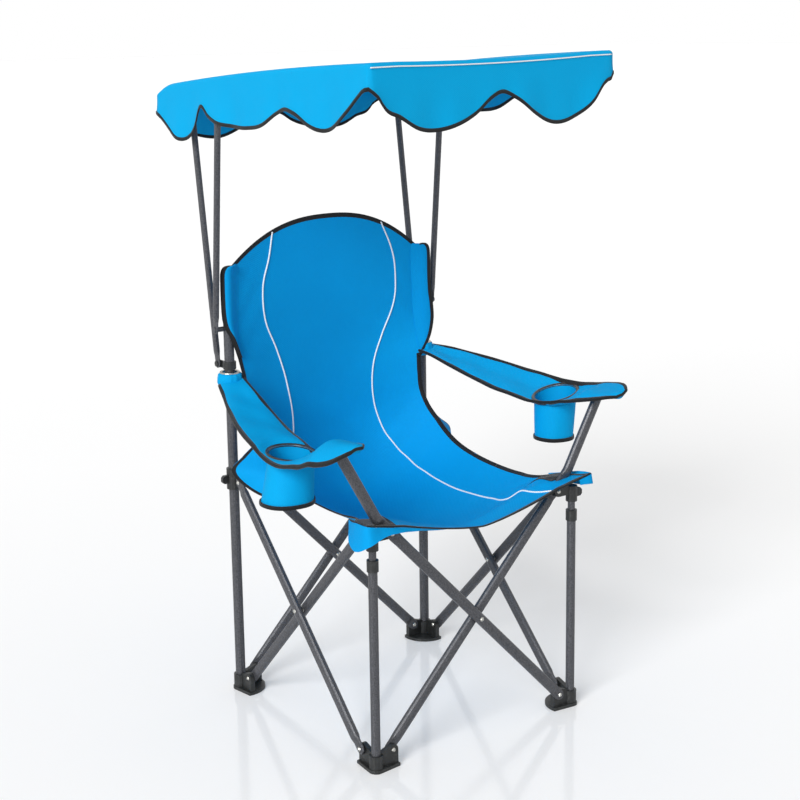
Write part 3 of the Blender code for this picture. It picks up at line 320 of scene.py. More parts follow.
def woven(name, colour, shade, roughness, thread_mm, crease=0.5):
    """Woven polyester: warp and weft are sine ridges whose product makes the basket pattern, painted
    shade darkens the valleys between the threads, and a slow cloud varies the dye and the tension."""
    material, shader = finish_of(name)
    plug(material, shader, {"Sheen Weight": 0.04, "Sheen Roughness": 0.5, "Sheen Tint": ink("#3fc0ff"),
                           "Specular IOR Level": 0.09})
    turned = add(material, "SeparateXYZ", {0: add(material, "UVMap", uv_map="weave")}).outputs
    wave = [add(material, "Math", {0: turned[way], 1: math.pi * 1000 / thread_mm}, operation="MULTIPLY")
            for way in (0, 1)]
    ridge = [add(material, "Math", {0: w}, operation="SINE") for w in wave]
    basket = add(material, "Math", {0: ridge[0], 1: ridge[1]}, operation="MULTIPLY")
    place = add(material, "TexCoord").outputs["Object"]
    cloud = add(material, "TexNoise", {"Vector": place, "Scale": 9.0, "Detail": 6.0, "Roughness": 0.6})
    slub = add(material, "TexNoise", {"Vector": place, "Scale": 210.0, "Detail": 3.0})
    # painted shade: the dye darkens where the basket's bump is low, in the valleys between the threads
    valley_shade = add(material, "MapRange", {"Value": basket, "From Min": -1.0, "To Min": -0.10, "To Max": 0.10})
    tint = add(material, "MapRange", {"Value": cloud, "To Min": 0.18, "To Max": 0.82})
    fine = add(material, "MapRange", {"Value": slub, "To Min": -0.12, "To Max": 0.12})
    both = add(material, "Math", {0: valley_shade, 1: tint})
    mixed = add(material, "Math", {0: both, 1: fine}, use_clamp=True)
    dye = add(material, "Mix", {"Factor": mixed, "A": ink(shade), "B": ink(colour)}, data_type="RGBA")
    puckers = add(material, "Bump", {"Height": cloud, "Distance": 0.004, "Strength": crease})
    threads = add(material, "Bump", {"Height": basket, "Distance": 0.0003, "Strength": 0.6,
                                     "Normal": puckers})
    rough = add(material, "MapRange", {"Value": slub, "To Min": roughness - 0.1, "To Max": roughness + 0.1})
    plug(material, shader, {"Roughness": rough, "Normal": threads, "Base Color": dye.outputs[2]})
    return material


sling_cloth = woven("polyester_oxford_blue", "#009de0", "#008fd0", 0.72, THREAD_MM)


def sling_panel(name, start, end, rows, columns=121):
    """One part of the sling between two lengths from its top edge, with its own weave."""
    across, along = np.meshgrid(np.linspace(-1, 1, columns), np.linspace(start, end, rows))
    weave = np.stack([across * HALF_PITCH, along], -1)
    return thicken(surface(name, sling_at(across, along), weave, sling_cloth), CLOTH)


BACK_END, SEAT_MIDDLE, SEAT_END = STATIONS[10], STATIONS[14], STATIONS[-1]
back_panel = sling_panel("sling_back", 0, BACK_END, 97)
seat_rear = sling_panel("sling_seat_rear", BACK_END, SEAT_MIDDLE, 49)
seat_front = sling_panel("sling_seat_front", SEAT_MIDDLE, SEAT_END, 61)


def goes_with_back(piece, side="left"):
    """Rides on an upright."""
    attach(piece, f"rear_{side}")
    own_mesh(piece)


def goes_with_seat(piece):
    """Keeps the piece where it lies, with its placement written into its mesh."""
    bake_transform(piece)


def goes_with(part, piece):
    """Moves with its part of the sling: the back, or the rear or front half of the seat."""
    if part == "back":
        goes_with_back(piece)
    else:
        goes_with_seat(piece)


# Binding of the sling: black polyester grosgrain tape, folded over the raw edge and sewn
# through. It is ribbed across, and its stitches lie close to its inner edge.

TAPE = 0.0105
TAPE_THICK = 0.0034
RIB_MM = 1.6            # grosgrain ribs lie every 0.7 mm, drawn coarser so that they show
grosgrain, ribs = finish_of("polyester_grosgrain_black", Roughness=0.78)
plug(grosgrain, ribs, {"Sheen Weight": 0.15, "Sheen Roughness": 0.4, "Specular IOR Level": 0.3})
STITCH, STITCH_IN, STITCH_WIDE = 0.004, 0.0022, 0.0004
turned = add(grosgrain, "SeparateXYZ", {0: add(grosgrain, "UVMap", uv_map="weave")}).outputs
rib = add(grosgrain, "Math", {0: turned[0], 1: 2 * math.pi * 1000 / RIB_MM}, operation="MULTIPLY")
ridge = add(grosgrain, "Math", {0: rib}, operation="SINE")
stitch = add(grosgrain, "Math", {0: turned[0], 1: 2 * math.pi / STITCH}, operation="MULTIPLY")
dash = add(grosgrain, "Math", {0: stitch}, operation="SINE")
from_seam = add(grosgrain, "Math", {0: turned[1], 1: STITCH_IN}, operation="SUBTRACT")
close_by = add(grosgrain, "Math", {0: from_seam}, operation="ABSOLUTE")
on_seam = add(grosgrain, "Math", {0: close_by, 1: STITCH_WIDE}, operation="LESS_THAN")
shown = add(grosgrain, "Math", {0: dash, 1: on_seam}, operation="MULTIPLY", use_clamp=True)
dye = add(grosgrain, "Mix", {"Factor": shown, "A": ink("#101112"), "B": ink("#35373a")}, data_type="RGBA")
raised = add(grosgrain, "Bump", {"Height": ridge, "Distance": 0.0002, "Strength": 0.6})
plug(grosgrain, ribs, {"Normal": raised, "Base Color": dye.outputs[2]})


def smooth_line(knots, values, at):
    """A cubic through values at their knots, with slopes taken from the neighbours."""
    slopes = np.gradient(values, knots)
    i = np.clip(np.searchsorted(knots, at, side="right") - 1, 0, len(knots) - 2)
    gap = knots[i + 1] - knots[i]
    return hermite((at - knots[i]) / gap, gap, values[i], slopes[i], values[i + 1], slopes[i + 1])


def curve_through(points, at):
    """A smooth line through points that lie at even shares of its way."""
    knots = np.linspace(0, 1, len(points))
    return np.stack([smooth_line(knots, column, at) for column in points.T], -1)


def tape(name, edge, inward, face, width=TAPE, thick=TAPE_THICK, sides=20):
    """A folded tape along an edge: a flattened round profile that covers the edge by 0.8 mm and
    reaches its width inward, at width / 2 * cos t inward and thick / 2 * sin t off the face."""
    inward = unit(inward)
    t = circle(sides)
    out, up = (np.sign(w) * np.abs(w) ** 0.55 for w in (np.cos(t), np.sin(t)))
    points = (edge[:, None] + inward[:, None] * (width / 2 * (1 + out) - 0.0008)[None, :, None]
              + face[:, None] * (thick / 2 * up)[None, :, None])
    around = width / 2 * (1 - np.append(out, out[0]))
    return surface(name, points, round_weave(edge, around), grosgrain, closed=True, caps=(0, -1))


def sling_tape(name, across, along, into):
    """A tape along a line of the sling, given by shares of its half width and lengths from its top
    edge. into is the step from the edge into the cloth."""
    edge = sling_at(across, along)
    inward = sling_at(across + into[0], along + into[1]) - edge
    return tape(name, edge, inward, facing(sling_at, across, along))


FLAP_ENDS = {"left": 0.757, "right": 0.700}     # the heights where the side tapes take over from the flaps


def along_at(height):
    """The length from the top edge at which the back's side edge is at a height."""
    return np.interp(-height, -EDGE_ROWS[:11, 2], STATIONS[:11])


SIDES = (("left", -1.0), ("right", 1.0))
for side, sign in SIDES:
    top = along_at(FLAP_ENDS[side] + 0.008)
    for part, start, end, steps in (("back", top, BACK_END, 90), ("seat_rear", BACK_END, SEAT_MIDDLE, 60),
                                    ("seat_front", SEAT_MIDDLE, SEAT_END, 70)):
        along = np.linspace(start, end, steps)
        goes_with(part, sling_tape(f"{part}_tape_{side}", np.full(steps, sign), along, (-0.02 * sign, 0)))
across = np.linspace(-1, 1, 161)
top_tape = sling_tape("back_tape_top", across, np.zeros(161), (0, 0.005))
goes_with_back(top_tape)
front_tape = sling_tape("seat_front_tape", across, np.full(161, SEAT_END), (0, -0.005))
goes_with_seat(front_tape)

# Sleeves: two pockets of the sling's cloth on the back's top corners, pushed over the tops of the
# uprights so that the back hangs from them. In front of each the back itself reaches out past the
# upright as a flap, whose outer edge is bound: the rows give the height on the back's side edge
# and the point of the outer edge.
sleeve_profile = np.array([
    (0.0003, 0.9503), (0.0112, 0.9503), (0.0112, 0.8420), (0.0126, 0.8420), (0.0129, 0.8450),
    (0.0126, 0.8480), (0.0126, 0.9000), (0.0126, 0.9400), (0.0119, 0.9480), (0.0100, 0.9520),
    (0.0060, 0.9538), (0.0003, 0.9542)])
FLAPS = {
    "left": np.array([
        (0.956, 0.2500, 0.2580, 0.957), (0.950, 0.2640, 0.2480, 0.960), (0.942, 0.2740, 0.2500, 0.957),
        (0.930, 0.2780, 0.2535, 0.945), (0.915, 0.2785, 0.2545, 0.920), (0.885, 0.2785, 0.2545, 0.885),
        (0.850, 0.2775, 0.2535, 0.850), (0.826, 0.2730, 0.2510, 0.826), (0.803, 0.2625, 0.2460, 0.803),
        (0.780, 0.2530, 0.2465, 0.780), (0.757, 0.2442, 0.2490, 0.757)]),
    "right": np.array([
        (0.956, 0.2500, 0.2570, 0.9575), (0.950, 0.2600, 0.2490, 0.960), (0.942, 0.2690, 0.2460, 0.9575),
        (0.930, 0.2740, 0.2445, 0.947), (0.915, 0.2750, 0.2440, 0.925), (0.885, 0.2752, 0.2440, 0.885),
        (0.850, 0.2765, 0.2430, 0.850), (0.815, 0.2810, 0.2420, 0.815), (0.780, 0.2820, 0.2420, 0.780),
        (0.740, 0.2690, 0.2390, 0.740), (0.700, 0.2392, 0.2350, 0.700)])}
FLAP_BELLIES = {"left": 0.0118, "right": 0.0056}


def flap_at(side, sign, across, down):
    """A flap from a line just inside the back's side edge to its own outer edge: straight from one to
    the other, and bellied forward round the upright by sin(pi * share ^ 1.6)."""
    height, x, y, z = np.moveaxis(curve_through(FLAPS[side], down), -1, 0)
    inside, along = sign * (0.93 + 0.07 * down ** 3 + 0.07 * (1 - down) ** 12), along_at(height)
    inner = sling_at(inside, along) + facing(sling_at, inside, along) * CLOTH / 2
    points = inner + (np.stack([sign * x, y, z], -1) - inner) * across[..., None]
    points[..., 1] -= FLAP_BELLIES[side] * (1 - down ** 6) * np.sin(math.pi * across ** 1.6)
    return points


for side, sign in SIDES:
    turn = circle(32)
    r, z = sleeve_profile[:, :1], sleeve_profile[:, 1:]
    ring = np.stack([sign * HALF_PITCH + r * np.cos(turn), HALF_PITCH + r * np.sin(turn), z + 0 * turn], -1)
    weave = round_weave(sleeve_profile, np.linspace(0, 0.09, 33))
    sleeve = surface(f"back_sleeve_{side}", ring, weave, sling_cloth, closed=True, caps=(0, -1))
    across, down = np.meshgrid(np.linspace(0, 1, 25), np.linspace(0, 1, 91))
    flap_points = flap_at(side, sign, across, down)
    flap = thicken(surface(f"back_flap_{side}", flap_points, flap_points[..., ::2], sling_cloth), CLOTH)
    rim = np.linspace(0, 1, 150)
    edge = flap_at(side, sign, np.ones(150), rim)
    inward = flap_at(side, sign, np.full(150, 0.85), rim) - edge
    face = np.cross(np.gradient(edge, axis=0), inward)
    face = -np.sign(face[:, 1:2]) * unit(face)
    flap_tape = tape(f"back_flap_tape_{side}", edge, inward, face)
    for piece in (sleeve, flap, flap_tape):
        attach(piece, f"rear_{side}")

# Piping: two white lines of braided polyester in a folded strip, let into the curved seams that
# run from the top edge down the back and forward over the seat.

PIPING_RADIUS, PIPING_ROUND = 0.0017, 0.0107
piping_white, braid = finish_of("braided_polyester_white", Roughness=0.6)
place = add(piping_white, "UVMap", uv_map="weave").outputs["UV"]
plait = add(piping_white, "TexWave", {"Vector": place, "Scale": 120.0}, bands_direction="DIAGONAL")
# painted shade: the braid is darker where its bump is low, in the grooves between its strands
tone = ramp(piping_white, plait.outputs["Fac"], (0.0, "#d9dddf"), (1.0, "#f6f8f8"))
raised = add(piping_white, "Bump", {"Height": plait.outputs["Fac"], "Distance": 0.0002, "Strength": 0.5})
plug(piping_white, braid, {"Base Color": tone, "Normal": raised})

SEAMS = {
    "left": np.array([
        (-0.573, 0.0029), (-0.610, 0.0507), (-0.673, 0.0974), (-0.682, 0.1357), (-0.648, 0.1866),
        (-0.561, 0.2368), (-0.471, 0.3090), (-0.437, 0.4200), (-0.500, 0.4600), (-0.640, 0.5000),
        (-0.840, 0.5300), (-0.985, 0.5500)]),
    "right": np.array([
        (0.602, 0.0031), (0.711, 0.0459), (0.765, 0.1201), (0.729, 0.1862), (0.622, 0.2419),
        (0.527, 0.3012), (0.507, 0.3548), (0.541, 0.4198), (0.585, 0.4725), (0.623, 0.5164),
        (0.647, 0.6000), (0.630, 0.7186), (0.632, 0.8374), (0.612, 0.9200), (0.590, 0.9700),
        (0.634, 1.0022)])}


def piping(name, path, face, radius=PIPING_RADIUS):
    """A round braid whose middle lies a little above the cloth: at angle t round its path it lies
    radius * cos t to the side and radius * sin t along the face direction."""
    middle = path + face * (CLOTH / 2 + radius * 0.45)
    side = unit(np.cross(np.gradient(middle, axis=0), face))
    t = circle(12)
    points = (middle[:, None] + side[:, None] * (radius * np.cos(t))[None, :, None]
              + face[:, None] * (radius * np.sin(t))[None, :, None])
    weave = round_weave(path, np.linspace(0, PIPING_ROUND, 13))
    return surface(name, points, weave, piping_white, closed=True, caps=(0, -1))


for side, seam in SEAMS.items():
    parts = [("back", 0.003, BACK_END, 150), ("seat_rear", BACK_END, SEAT_MIDDLE, 80),
             ("seat_front", SEAT_MIDDLE, SEAT_END - 0.008, 90)]
    if side == "left":      # this seam runs out to the side's binding before it reaches the seat
        parts = [("back", 0.003, seam[-1, 1], 150)]
    for part, start, end, steps in parts:
        along = np.linspace(start, end, steps)
        across = smooth_line(seam[:, 1], seam[:, 0], along)
        piece = piping(f"{part}_piping_{side}", sling_at(across, along), facing(sling_at, across, along))
        goes_with(part, piece)

# Wings: gussets of the same cloth that join the seat's rear corners to the sliding hubs, with
# the black tape round their free edges. Their outer corners hook round the fronts of the hubs.

WING_IN = np.array([
    (0.2383, 0.197, 0.583), (0.2383, 0.170, 0.556), (0.2383, 0.140, 0.535), (0.2383, 0.110, 0.524),
    (0.2383, 0.070, 0.512), (0.2383, 0.030, 0.506)])
WING_OUT = np.array([
    (0.2383, 0.199, 0.577), (0.2680, 0.204, 0.552), (0.2970, 0.203, 0.525), (0.2760, 0.178, 0.490),
    (0.2520, 0.120, 0.474), (0.2383, 0.030, 0.500)])
WING_BELLY = 0.006


def wing_grid(sign, across, along):
    """A gusset between the seat's side edge and its own outer edge: straight from one to the other
    at each share of the way forward, with a slack belly of 6 mm forwards."""
    inner, outer = curve_through(WING_IN, along), curve_through(WING_OUT, along)
    points = inner + (outer - inner) * across[..., None]
    points[..., 1] -= WING_BELLY * np.sin(math.pi * across) * np.sin(math.pi * along)
    return points * (sign, 1, 1)


for side, sign in SIDES:
    across, along = np.meshgrid(np.linspace(0, 1, 25), np.linspace(0, 1, 61))
    points = wing_grid(sign, across, along)
    wing = thicken(surface(f"seat_wing_{side}", points, points[..., 1:], sling_cloth), CLOTH)
    goes_with_seat(wing)
    rim = np.linspace(0.02, 0.98, 100)
    edge = wing_grid(sign, np.ones(100), rim)
    wing_tape = tape(f"seat_wing_tape_{side}", edge, wing_grid(sign, np.full(100, 0.9), rim) - edge,
                     np.tile((0.64 * sign, -0.77, 0.0), (100, 1)))
    goes_with_seat(wing_tape)

# Corner patches and pouches: the arm tubes come up through holes in the seat's front corners.
# A black patch of tape cloth faces each hole, and a blue pouch under the corner takes the hub.

PATCHES = {"left": (0.76, 0.985, 0.935, 1.010), "right": (0.77, 0.975, 0.915, 0.976)}
PATCH_LIFT, PATCH_THICK = 0.0018, 0.0012
POUCH_RIM = np.array([
    (0.262, -0.185, 0.5055), (0.276, -0.215, 0.511), (0.2885, -0.250, 0.5195), (0.290, -0.288, 0.522),
    (0.255, -0.289, 0.514), (0.215, -0.289, 0.505), (0.165, -0.289, 0.494)])
POUCH_LOW = np.array([
    (0.264, -0.188, 0.492), (0.288, -0.222, 0.474), (0.297, -0.258, 0.466), (0.291, -0.296, 0.484),
    (0.252, -0.297, 0.497), (0.213, -0.294, 0.4965), (0.165, -0.290, 0.4905)])
POUCH_RIPPLE = 0.0015
POUCH_DEPTHS = {"left": 1.0, "right": 0.55}     # shares of the way down to the lower line
POUCH_ENDS = {"left": 1.0, "right": 0.66}       # shares of the way along both lines
for side, sign in SIDES:
    near_middle, at_edge, rear, ahead = PATCHES[side]
    across, along = np.meshgrid(np.linspace(near_middle, at_edge, 25), np.linspace(rear, ahead, 25))
    patch_points = sling_at(sign * across, along) + facing(sling_at, sign * across, along) * PATCH_LIFT
    weave = np.stack([across * HALF_PITCH, along], -1)
    patch = thicken(surface(f"corner_patch_{side}", patch_points, weave, grosgrain), PATCH_THICK)
    goes_with_seat(patch)

    share, drop = np.linspace(0, POUCH_ENDS[side], 73), np.linspace(0, 1, 21)[:, None]
    rim_line, low_line = curve_through(POUCH_RIM, share), curve_through(POUCH_LOW, share)
    pouch = rim_line + (low_line - rim_line) * drop[..., None] * POUCH_DEPTHS[side]
    pouch[..., 2] += POUCH_RIPPLE * np.sin(math.pi * drop) * np.sin(18 * share)
    pouch[..., 0] *= sign
    weave = np.stack(np.broadcast_arrays(0.2 * share, 0.05 * drop), -1)
    pocket = thicken(surface(f"corner_pouch_{side}", pouch, weave, sling_cloth), CLOTH)
    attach(pocket, f"front_{side}_hub")

goes_with_back(back_panel)
goes_with_seat(seat_rear)
goes_with_seat(seat_front)
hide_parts("sling")

# Arms: two layers of the cloth with 6 mm of foam between them, cut long and curved, with a
# taped edge. Each is gathered on a collar round the upright and hangs from there to the arm tube.

ARM_STRETCH = 0.52
ARM_HALF_WIDTH = 0.054
ARM_TOP, ARM_DIP, ARM_BOW = 0.711, 0.064, 0.078
ARM_END = 1.125         # the arm's tip, as a share of its stretch to the arm tube
PAD_CROWN, PAD_EDGE, PAD_RIPPLE = 0.0048, 0.0012, 0.0012
ARM_WIDTHS = np.array([
    (0, 0.56), (0.1, 0.60), (0.25, 0.78), (0.45, 0.97), (0.6, 1), (0.78, 0.98), (0.92, 0.88),
    (1.0, 0.79), (1.06, 0.66), (1.1, 0.50), (ARM_END, 0.30)])
ARM_DIPS = np.array([
    (0, 0), (0.1, 0.28), (0.25, 0.62), (0.4, 0.87), (0.54, 1), (0.85, 1), (0.9, 0.74), (0.95, 0.42),
    (1.0, 0.36), (ARM_END, 0.3)])
# how much higher than that line the inner edge, the middle and the outer edge hang, in millimetres
ARM_LIFTS = {
    "left": np.array([
        (0, 8, 0, -8), (0.1, 14, 3, -4), (0.2, 13, 5, 2), (0.3, 6, 4, 7), (0.4, -2, 2, 9),
        (0.5, -8, -2, 5), (0.6, -9, -5, -1), (0.67, -8, -6, -4), (0.75, -2, -3, -5), (0.85, 2, 0, -12),
        (0.9, -3, 0, -25), (0.95, -10, 0, -36), (1.0, -8, 0, -36), (1.06, -4, 0, -28),
        (1.1, 0, 0, -16), (ARM_END, 0, 0, -7)]),
    "right": np.array([
        (0, 5, 0, 5), (0.1, 13, 8, 22), (0.2, 14, 14, 30), (0.3, 14, 17, 36), (0.4, 13, 17, 38),
        (0.5, 9, 15, 38), (0.6, 9.5, 13, 40), (0.67, 12, 13, 44), (0.75, 17, 13, 47.5),
        (0.85, 12.5, 8, 39), (0.9, -0.5, 4, 26.5), (0.95, -16, 1, 11), (1.0, -14, 0, 12),
        (1.06, -9, 0, 15), (1.1, -4, 0, 15), (ARM_END, -3, 0, 10)])}
OUTER_REACH = {"left": 1.22, "right": 1.0}    # the left outer half is cut wider
CUP_SHARES = {"left": 0.348 / ARM_STRETCH, "right": 0.387 / ARM_STRETCH}
CUP_HOLE = 0.0500
FLAT_REACH = 0.010      # how far round the hole the pad lies in the cup's plane
CUP_SINKS = {"left": 0.0045, "right": 0.0010}  # how deep each rim sits in the pad round it
arm_cloth = woven("polyester_oxford_arms", "#00a5e0", "#0096d2", 0.70, THREAD_MM, crease=0.35)


def arm_middle(share):
    """The arm's middle line, bowed outwards by 78 mm and dipping by 64 mm between its ends."""
    bow = ARM_BOW * (1 - (1 - np.minimum(share, 1)) ** 2)
    height = ARM_TOP - ARM_DIP * smooth_line(*ARM_DIPS.T, share)
    return np.stack([HALF_PITCH + bow, HALF_PITCH - ARM_STRETCH * share, height], -1)


def arm_reach(side, share, across):
    """The width from the middle line to a share of the half width: the outer half of the left arm
    swells by 22 % as a sine between its ends."""
    along = np.sin(math.pi * np.clip(share / ARM_END, 0, 1)) ** 0.6
    swell = 1 + (OUTER_REACH[side] - 1) * along * (across > 0)
    return ARM_HALF_WIDTH * smooth_line(*ARM_WIDTHS.T, share) * swell * across


def arm_lift(side, share, across):
    """How far the cloth hangs above the middle line: from the middle's lift to the edge's with
    |across| ^ 1.6 on each half."""
    lifts = ARM_LIFTS[side]
    inner, middle, outer = (smooth_line(lifts[:, 0], lifts[:, i] / 1000, share) for i in (1, 2, 3))
    return middle + (np.where(across > 0, outer, inner) - middle) * np.abs(across) ** 1.6


def cup_middle(side):
    """The point of the arm's middle line over the cup, as on the right arm."""
    return arm_middle(np.array([CUP_SHARES[side]]))[0]


def cup_plane(side):
    """The flat rim of a cup holder, as its height over the middle line at its centre and its slopes
    outwards and backwards: the plane that fits the cloth round the hole best."""
    x, y = CUP_HOLE * np.cos(circle(48)), CUP_HOLE * np.sin(circle(48))
    share = CUP_SHARES[side] - y / ARM_STRETCH
    here, middle = arm_middle(share), cup_middle(side)
    across = (middle[0] + x - here[:, 0]) / arm_reach(side, share, np.ones(48))
    height = here[:, 2] + arm_lift(side, share, across) - middle[2]
    terms = np.stack([np.ones(48), x, y], 1)
    return np.linalg.lstsq(terms, height - CUP_SINKS[side], rcond=None)[0]


def arm_at(side, share, across, layer):
    """A point of an arm: on the hanging cloth, which lies flat round the cup, and off it by its half
    thickness, which falls towards the taped edge as 1 - |across| ^ 4."""
    middle = arm_middle(share)
    reach = arm_reach(side, share, across)
    cup, (rise, outwards, backwards) = cup_middle(side), cup_plane(side)
    from_cup_x, from_cup_y = middle[..., 0] + reach - cup[0], middle[..., 1] - cup[1]
    flat = cup[2] + rise + outwards * from_cup_x + backwards * from_cup_y
    apart = np.maximum(0, np.hypot(from_cup_x, from_cup_y) - CUP_HOLE)
    near = np.exp(-(apart / FLAT_REACH) ** 2) * (1 - across ** 12)
    hung = middle[..., 2] + arm_lift(side, share, across)
    crown = (PAD_CROWN * (1 - np.abs(across) ** 4) + PAD_EDGE) * layer
    crown = crown + PAD_RIPPLE * layer * (1 - across ** 2) * np.sin(30 * share + 3 * across)
    middle[..., 0] += reach
    middle[..., 2] = hung + (flat - hung) * near + crown
    middle[..., 0] *= -1.0 if side == "left" else 1.0
    return middle


def goes_with_arm(side, piece):
    """Rides on an upright."""
    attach(piece, f"rear_{side}")
    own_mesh(piece)


metal_eyelet, rim_of_eyelet = finish_of("nickel_plated_brass", Metallic=1.0, Roughness=0.3)
place = add(metal_eyelet, "TexCoord").outputs["Object"]
cloud = add(metal_eyelet, "TexNoise", {"Vector": place, "Scale": 400.0, "Detail": 5.0})
tone = ramp(metal_eyelet, cloud, (0.0, "#8a8782"), (1.0, "#cfccc6"))
plug(metal_eyelet, rim_of_eyelet, {"Base Color": tone})


def weld(piece):
    """Joins the first row of a ring to its last one, which lies on it."""
    piece.modifiers.new("join", "WELD").merge_threshold = 0.00001
    return piece


def hoop(name, centre, radius, wire, material, slopes=(0.0, 0.0)):
    """A ring of round wire: a circle of the wire's radius carried round the ring's own, and tilted
    by its slopes along x and y."""
    turn, ring = np.meshgrid(np.linspace(0, 2 * math.pi, 65), circle(16), indexing="ij")
    out = radius + wire * np.cos(ring)
    tilt = slopes[0] * out * np.cos(turn) + slopes[1] * out * np.sin(turn)
    points = np.stack([out * np.cos(turn), out * np.sin(turn), wire * np.sin(ring) + tilt], -1)
    weave = np.stack(np.meshgrid(np.linspace(0, radius * 2 * math.pi, 65),
                                 np.linspace(0, wire * 2 * math.pi, 17), indexing="ij"), -1)
    return weld(surface(name, points + centre, weave, material, closed=True))


# the collar's section, as distances from the upright's middle and heights
COLLAR = np.array([
    (0.0114, 0.7000), (0.0160, 0.6965), (0.0250, 0.6990), (0.0278, 0.7050), (0.0274, 0.7150),
    (0.0258, 0.7232), (0.0228, 0.7262), (0.0114, 0.7250), (0.0114, 0.7125), (0.0114, 0.7000)])
EYELET_HIGH, EYELET_RADIUS, EYELET_WIRE = 0.7268, 0.0196, 0.0030
for side, sign in SIDES:
    shares = np.concatenate([np.linspace(0.0, 1.06, 90), np.linspace(1.067, ARM_END, 8)])
    share, turn = np.meshgrid(shares, circle(48), indexing="ij")
    across = np.sign(np.cos(turn)) * np.abs(np.cos(turn)) ** 0.8
    layer = np.sign(np.sin(turn)) * np.minimum(1, np.abs(np.sin(turn)) * 2.2)
    weave = round_weave(arm_middle(shares), np.linspace(0, 0.22, 49))
    points = arm_at(side, share, across, layer)
    arm = surface(f"arm_pad_{side}", points, weave, arm_cloth, closed=True, caps=(0, -1))

    # the hole for the cup is cut through both layers
    hole_at = cup_middle(side) * (sign, 1, 1) + (0, MIDDLE_Y, 0)
    bpy.ops.mesh.primitive_cylinder_add(vertices=96, radius=CUP_HOLE, depth=0.16, location=hole_at)
    cutter = bpy.context.object
    cut = arm.modifiers.new("cup hole", "BOOLEAN")
    cut.object, cut.operation, cut.solver = cutter, "DIFFERENCE", "EXACT"
    evaluated = arm.evaluated_get(bpy.context.evaluated_depsgraph_get())
    whole = arm.data
    arm.data = bpy.data.meshes.new_from_object(evaluated)
    arm.modifiers.clear()
    bpy.data.meshes.remove(whole)
    bpy.data.objects.remove(cutter)

    # taped edge, once round the arm from the upright to the tip and back
    way, tip = np.linspace(0.01, ARM_END, 90), np.linspace(-0.94, 0.94, 12)
    edge, inner = (arm_at(side, np.concatenate([way, np.full(12, end), way[::-1]]),
                          np.concatenate([np.full(90, -width), tip * pull, np.full(90, width)]), 0.0)
                   for end, width, pull in ((1.128, 1.0, 1.0), (1.09, 0.8, 0.9)))
    inward = unit(inner - edge)
    face = np.cross(np.gradient(edge, axis=0), inward)
    face = np.sign(face[:, 2:]) * unit(face)
    arm_tape = tape(f"arm_tape_{side}", edge, inward, face, width=0.0108, thick=0.0068)

    # collar round the upright, gathered from the arm's own cloth, with an eyelet on its top
    turn, r, z = circle(48), COLLAR[:, :1], COLLAR[:, 1:]
    ring = np.stack([sign * HALF_PITCH + r * np.cos(turn),
                     HALF_PITCH + r * np.sin(turn) * (1 + 0.03 * np.cos(12 * turn)),
                     z + 0.0006 * np.cos(16 * turn)], -1)
    weave = round_weave(COLLAR, np.linspace(0, 0.12, 49))
    collar = weld(surface(f"arm_collar_{side}", ring, weave, arm_cloth, closed=True))
    eyelet = hoop(f"arm_eyelet_{side}", (sign * HALF_PITCH, HALF_PITCH, EYELET_HIGH), EYELET_RADIUS,
                  EYELET_WIRE, metal_eyelet)

    # the arms swing in with the frame as it folds
    goes_with_arm(side, arm)
    goes_with_arm(side, arm_tape)
    for piece in (collar, eyelet):
        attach(piece, f"rear_{side}")
    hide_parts(f"armrest_{side}")

# Cup holders: a pocket of the blue cloth sewn into the hole of each arm, with a black tape round
# its base and a ring of sprung wire in a black tube round its mouth.

CUP_RADIUS = 0.0475
CUP_DROP = 0.0955
RING_LIFT = 0.0025        # the ring lies between the arm's layers, a little above their middle
ring_tube, tube_skin = finish_of("vinyl_tube_black", Roughness=0.32)
place = add(ring_tube, "TexCoord").outputs["Object"]
rub = add(ring_tube, "TexNoise", {"Vector": place, "Scale": 260.0, "Detail": 6.0})
tone = ramp(ring_tube, rub, (0.4, "#1d1c1d"), (0.8, "#454142"))
plug(ring_tube, tube_skin, {"Base Color": tone})
BASE_WIDTHS = {"left": 0.0555, "right": 0.0430}
BASE_SHIFTS = {"left": 0.012, "right": -0.004}    # how far the base hangs outwards of the ring
SQUEEZES = {"left": 0.08, "right": 0.0}           # how much the base is narrowed front to back
SLACK = 0.012
CUP_CLOTH = 0.0018
RING_OUT = 0.0012         # how far the cloth and the ring lie each side of the mouth's radius
RING_WIRE = 0.0044
LIP = 0.004

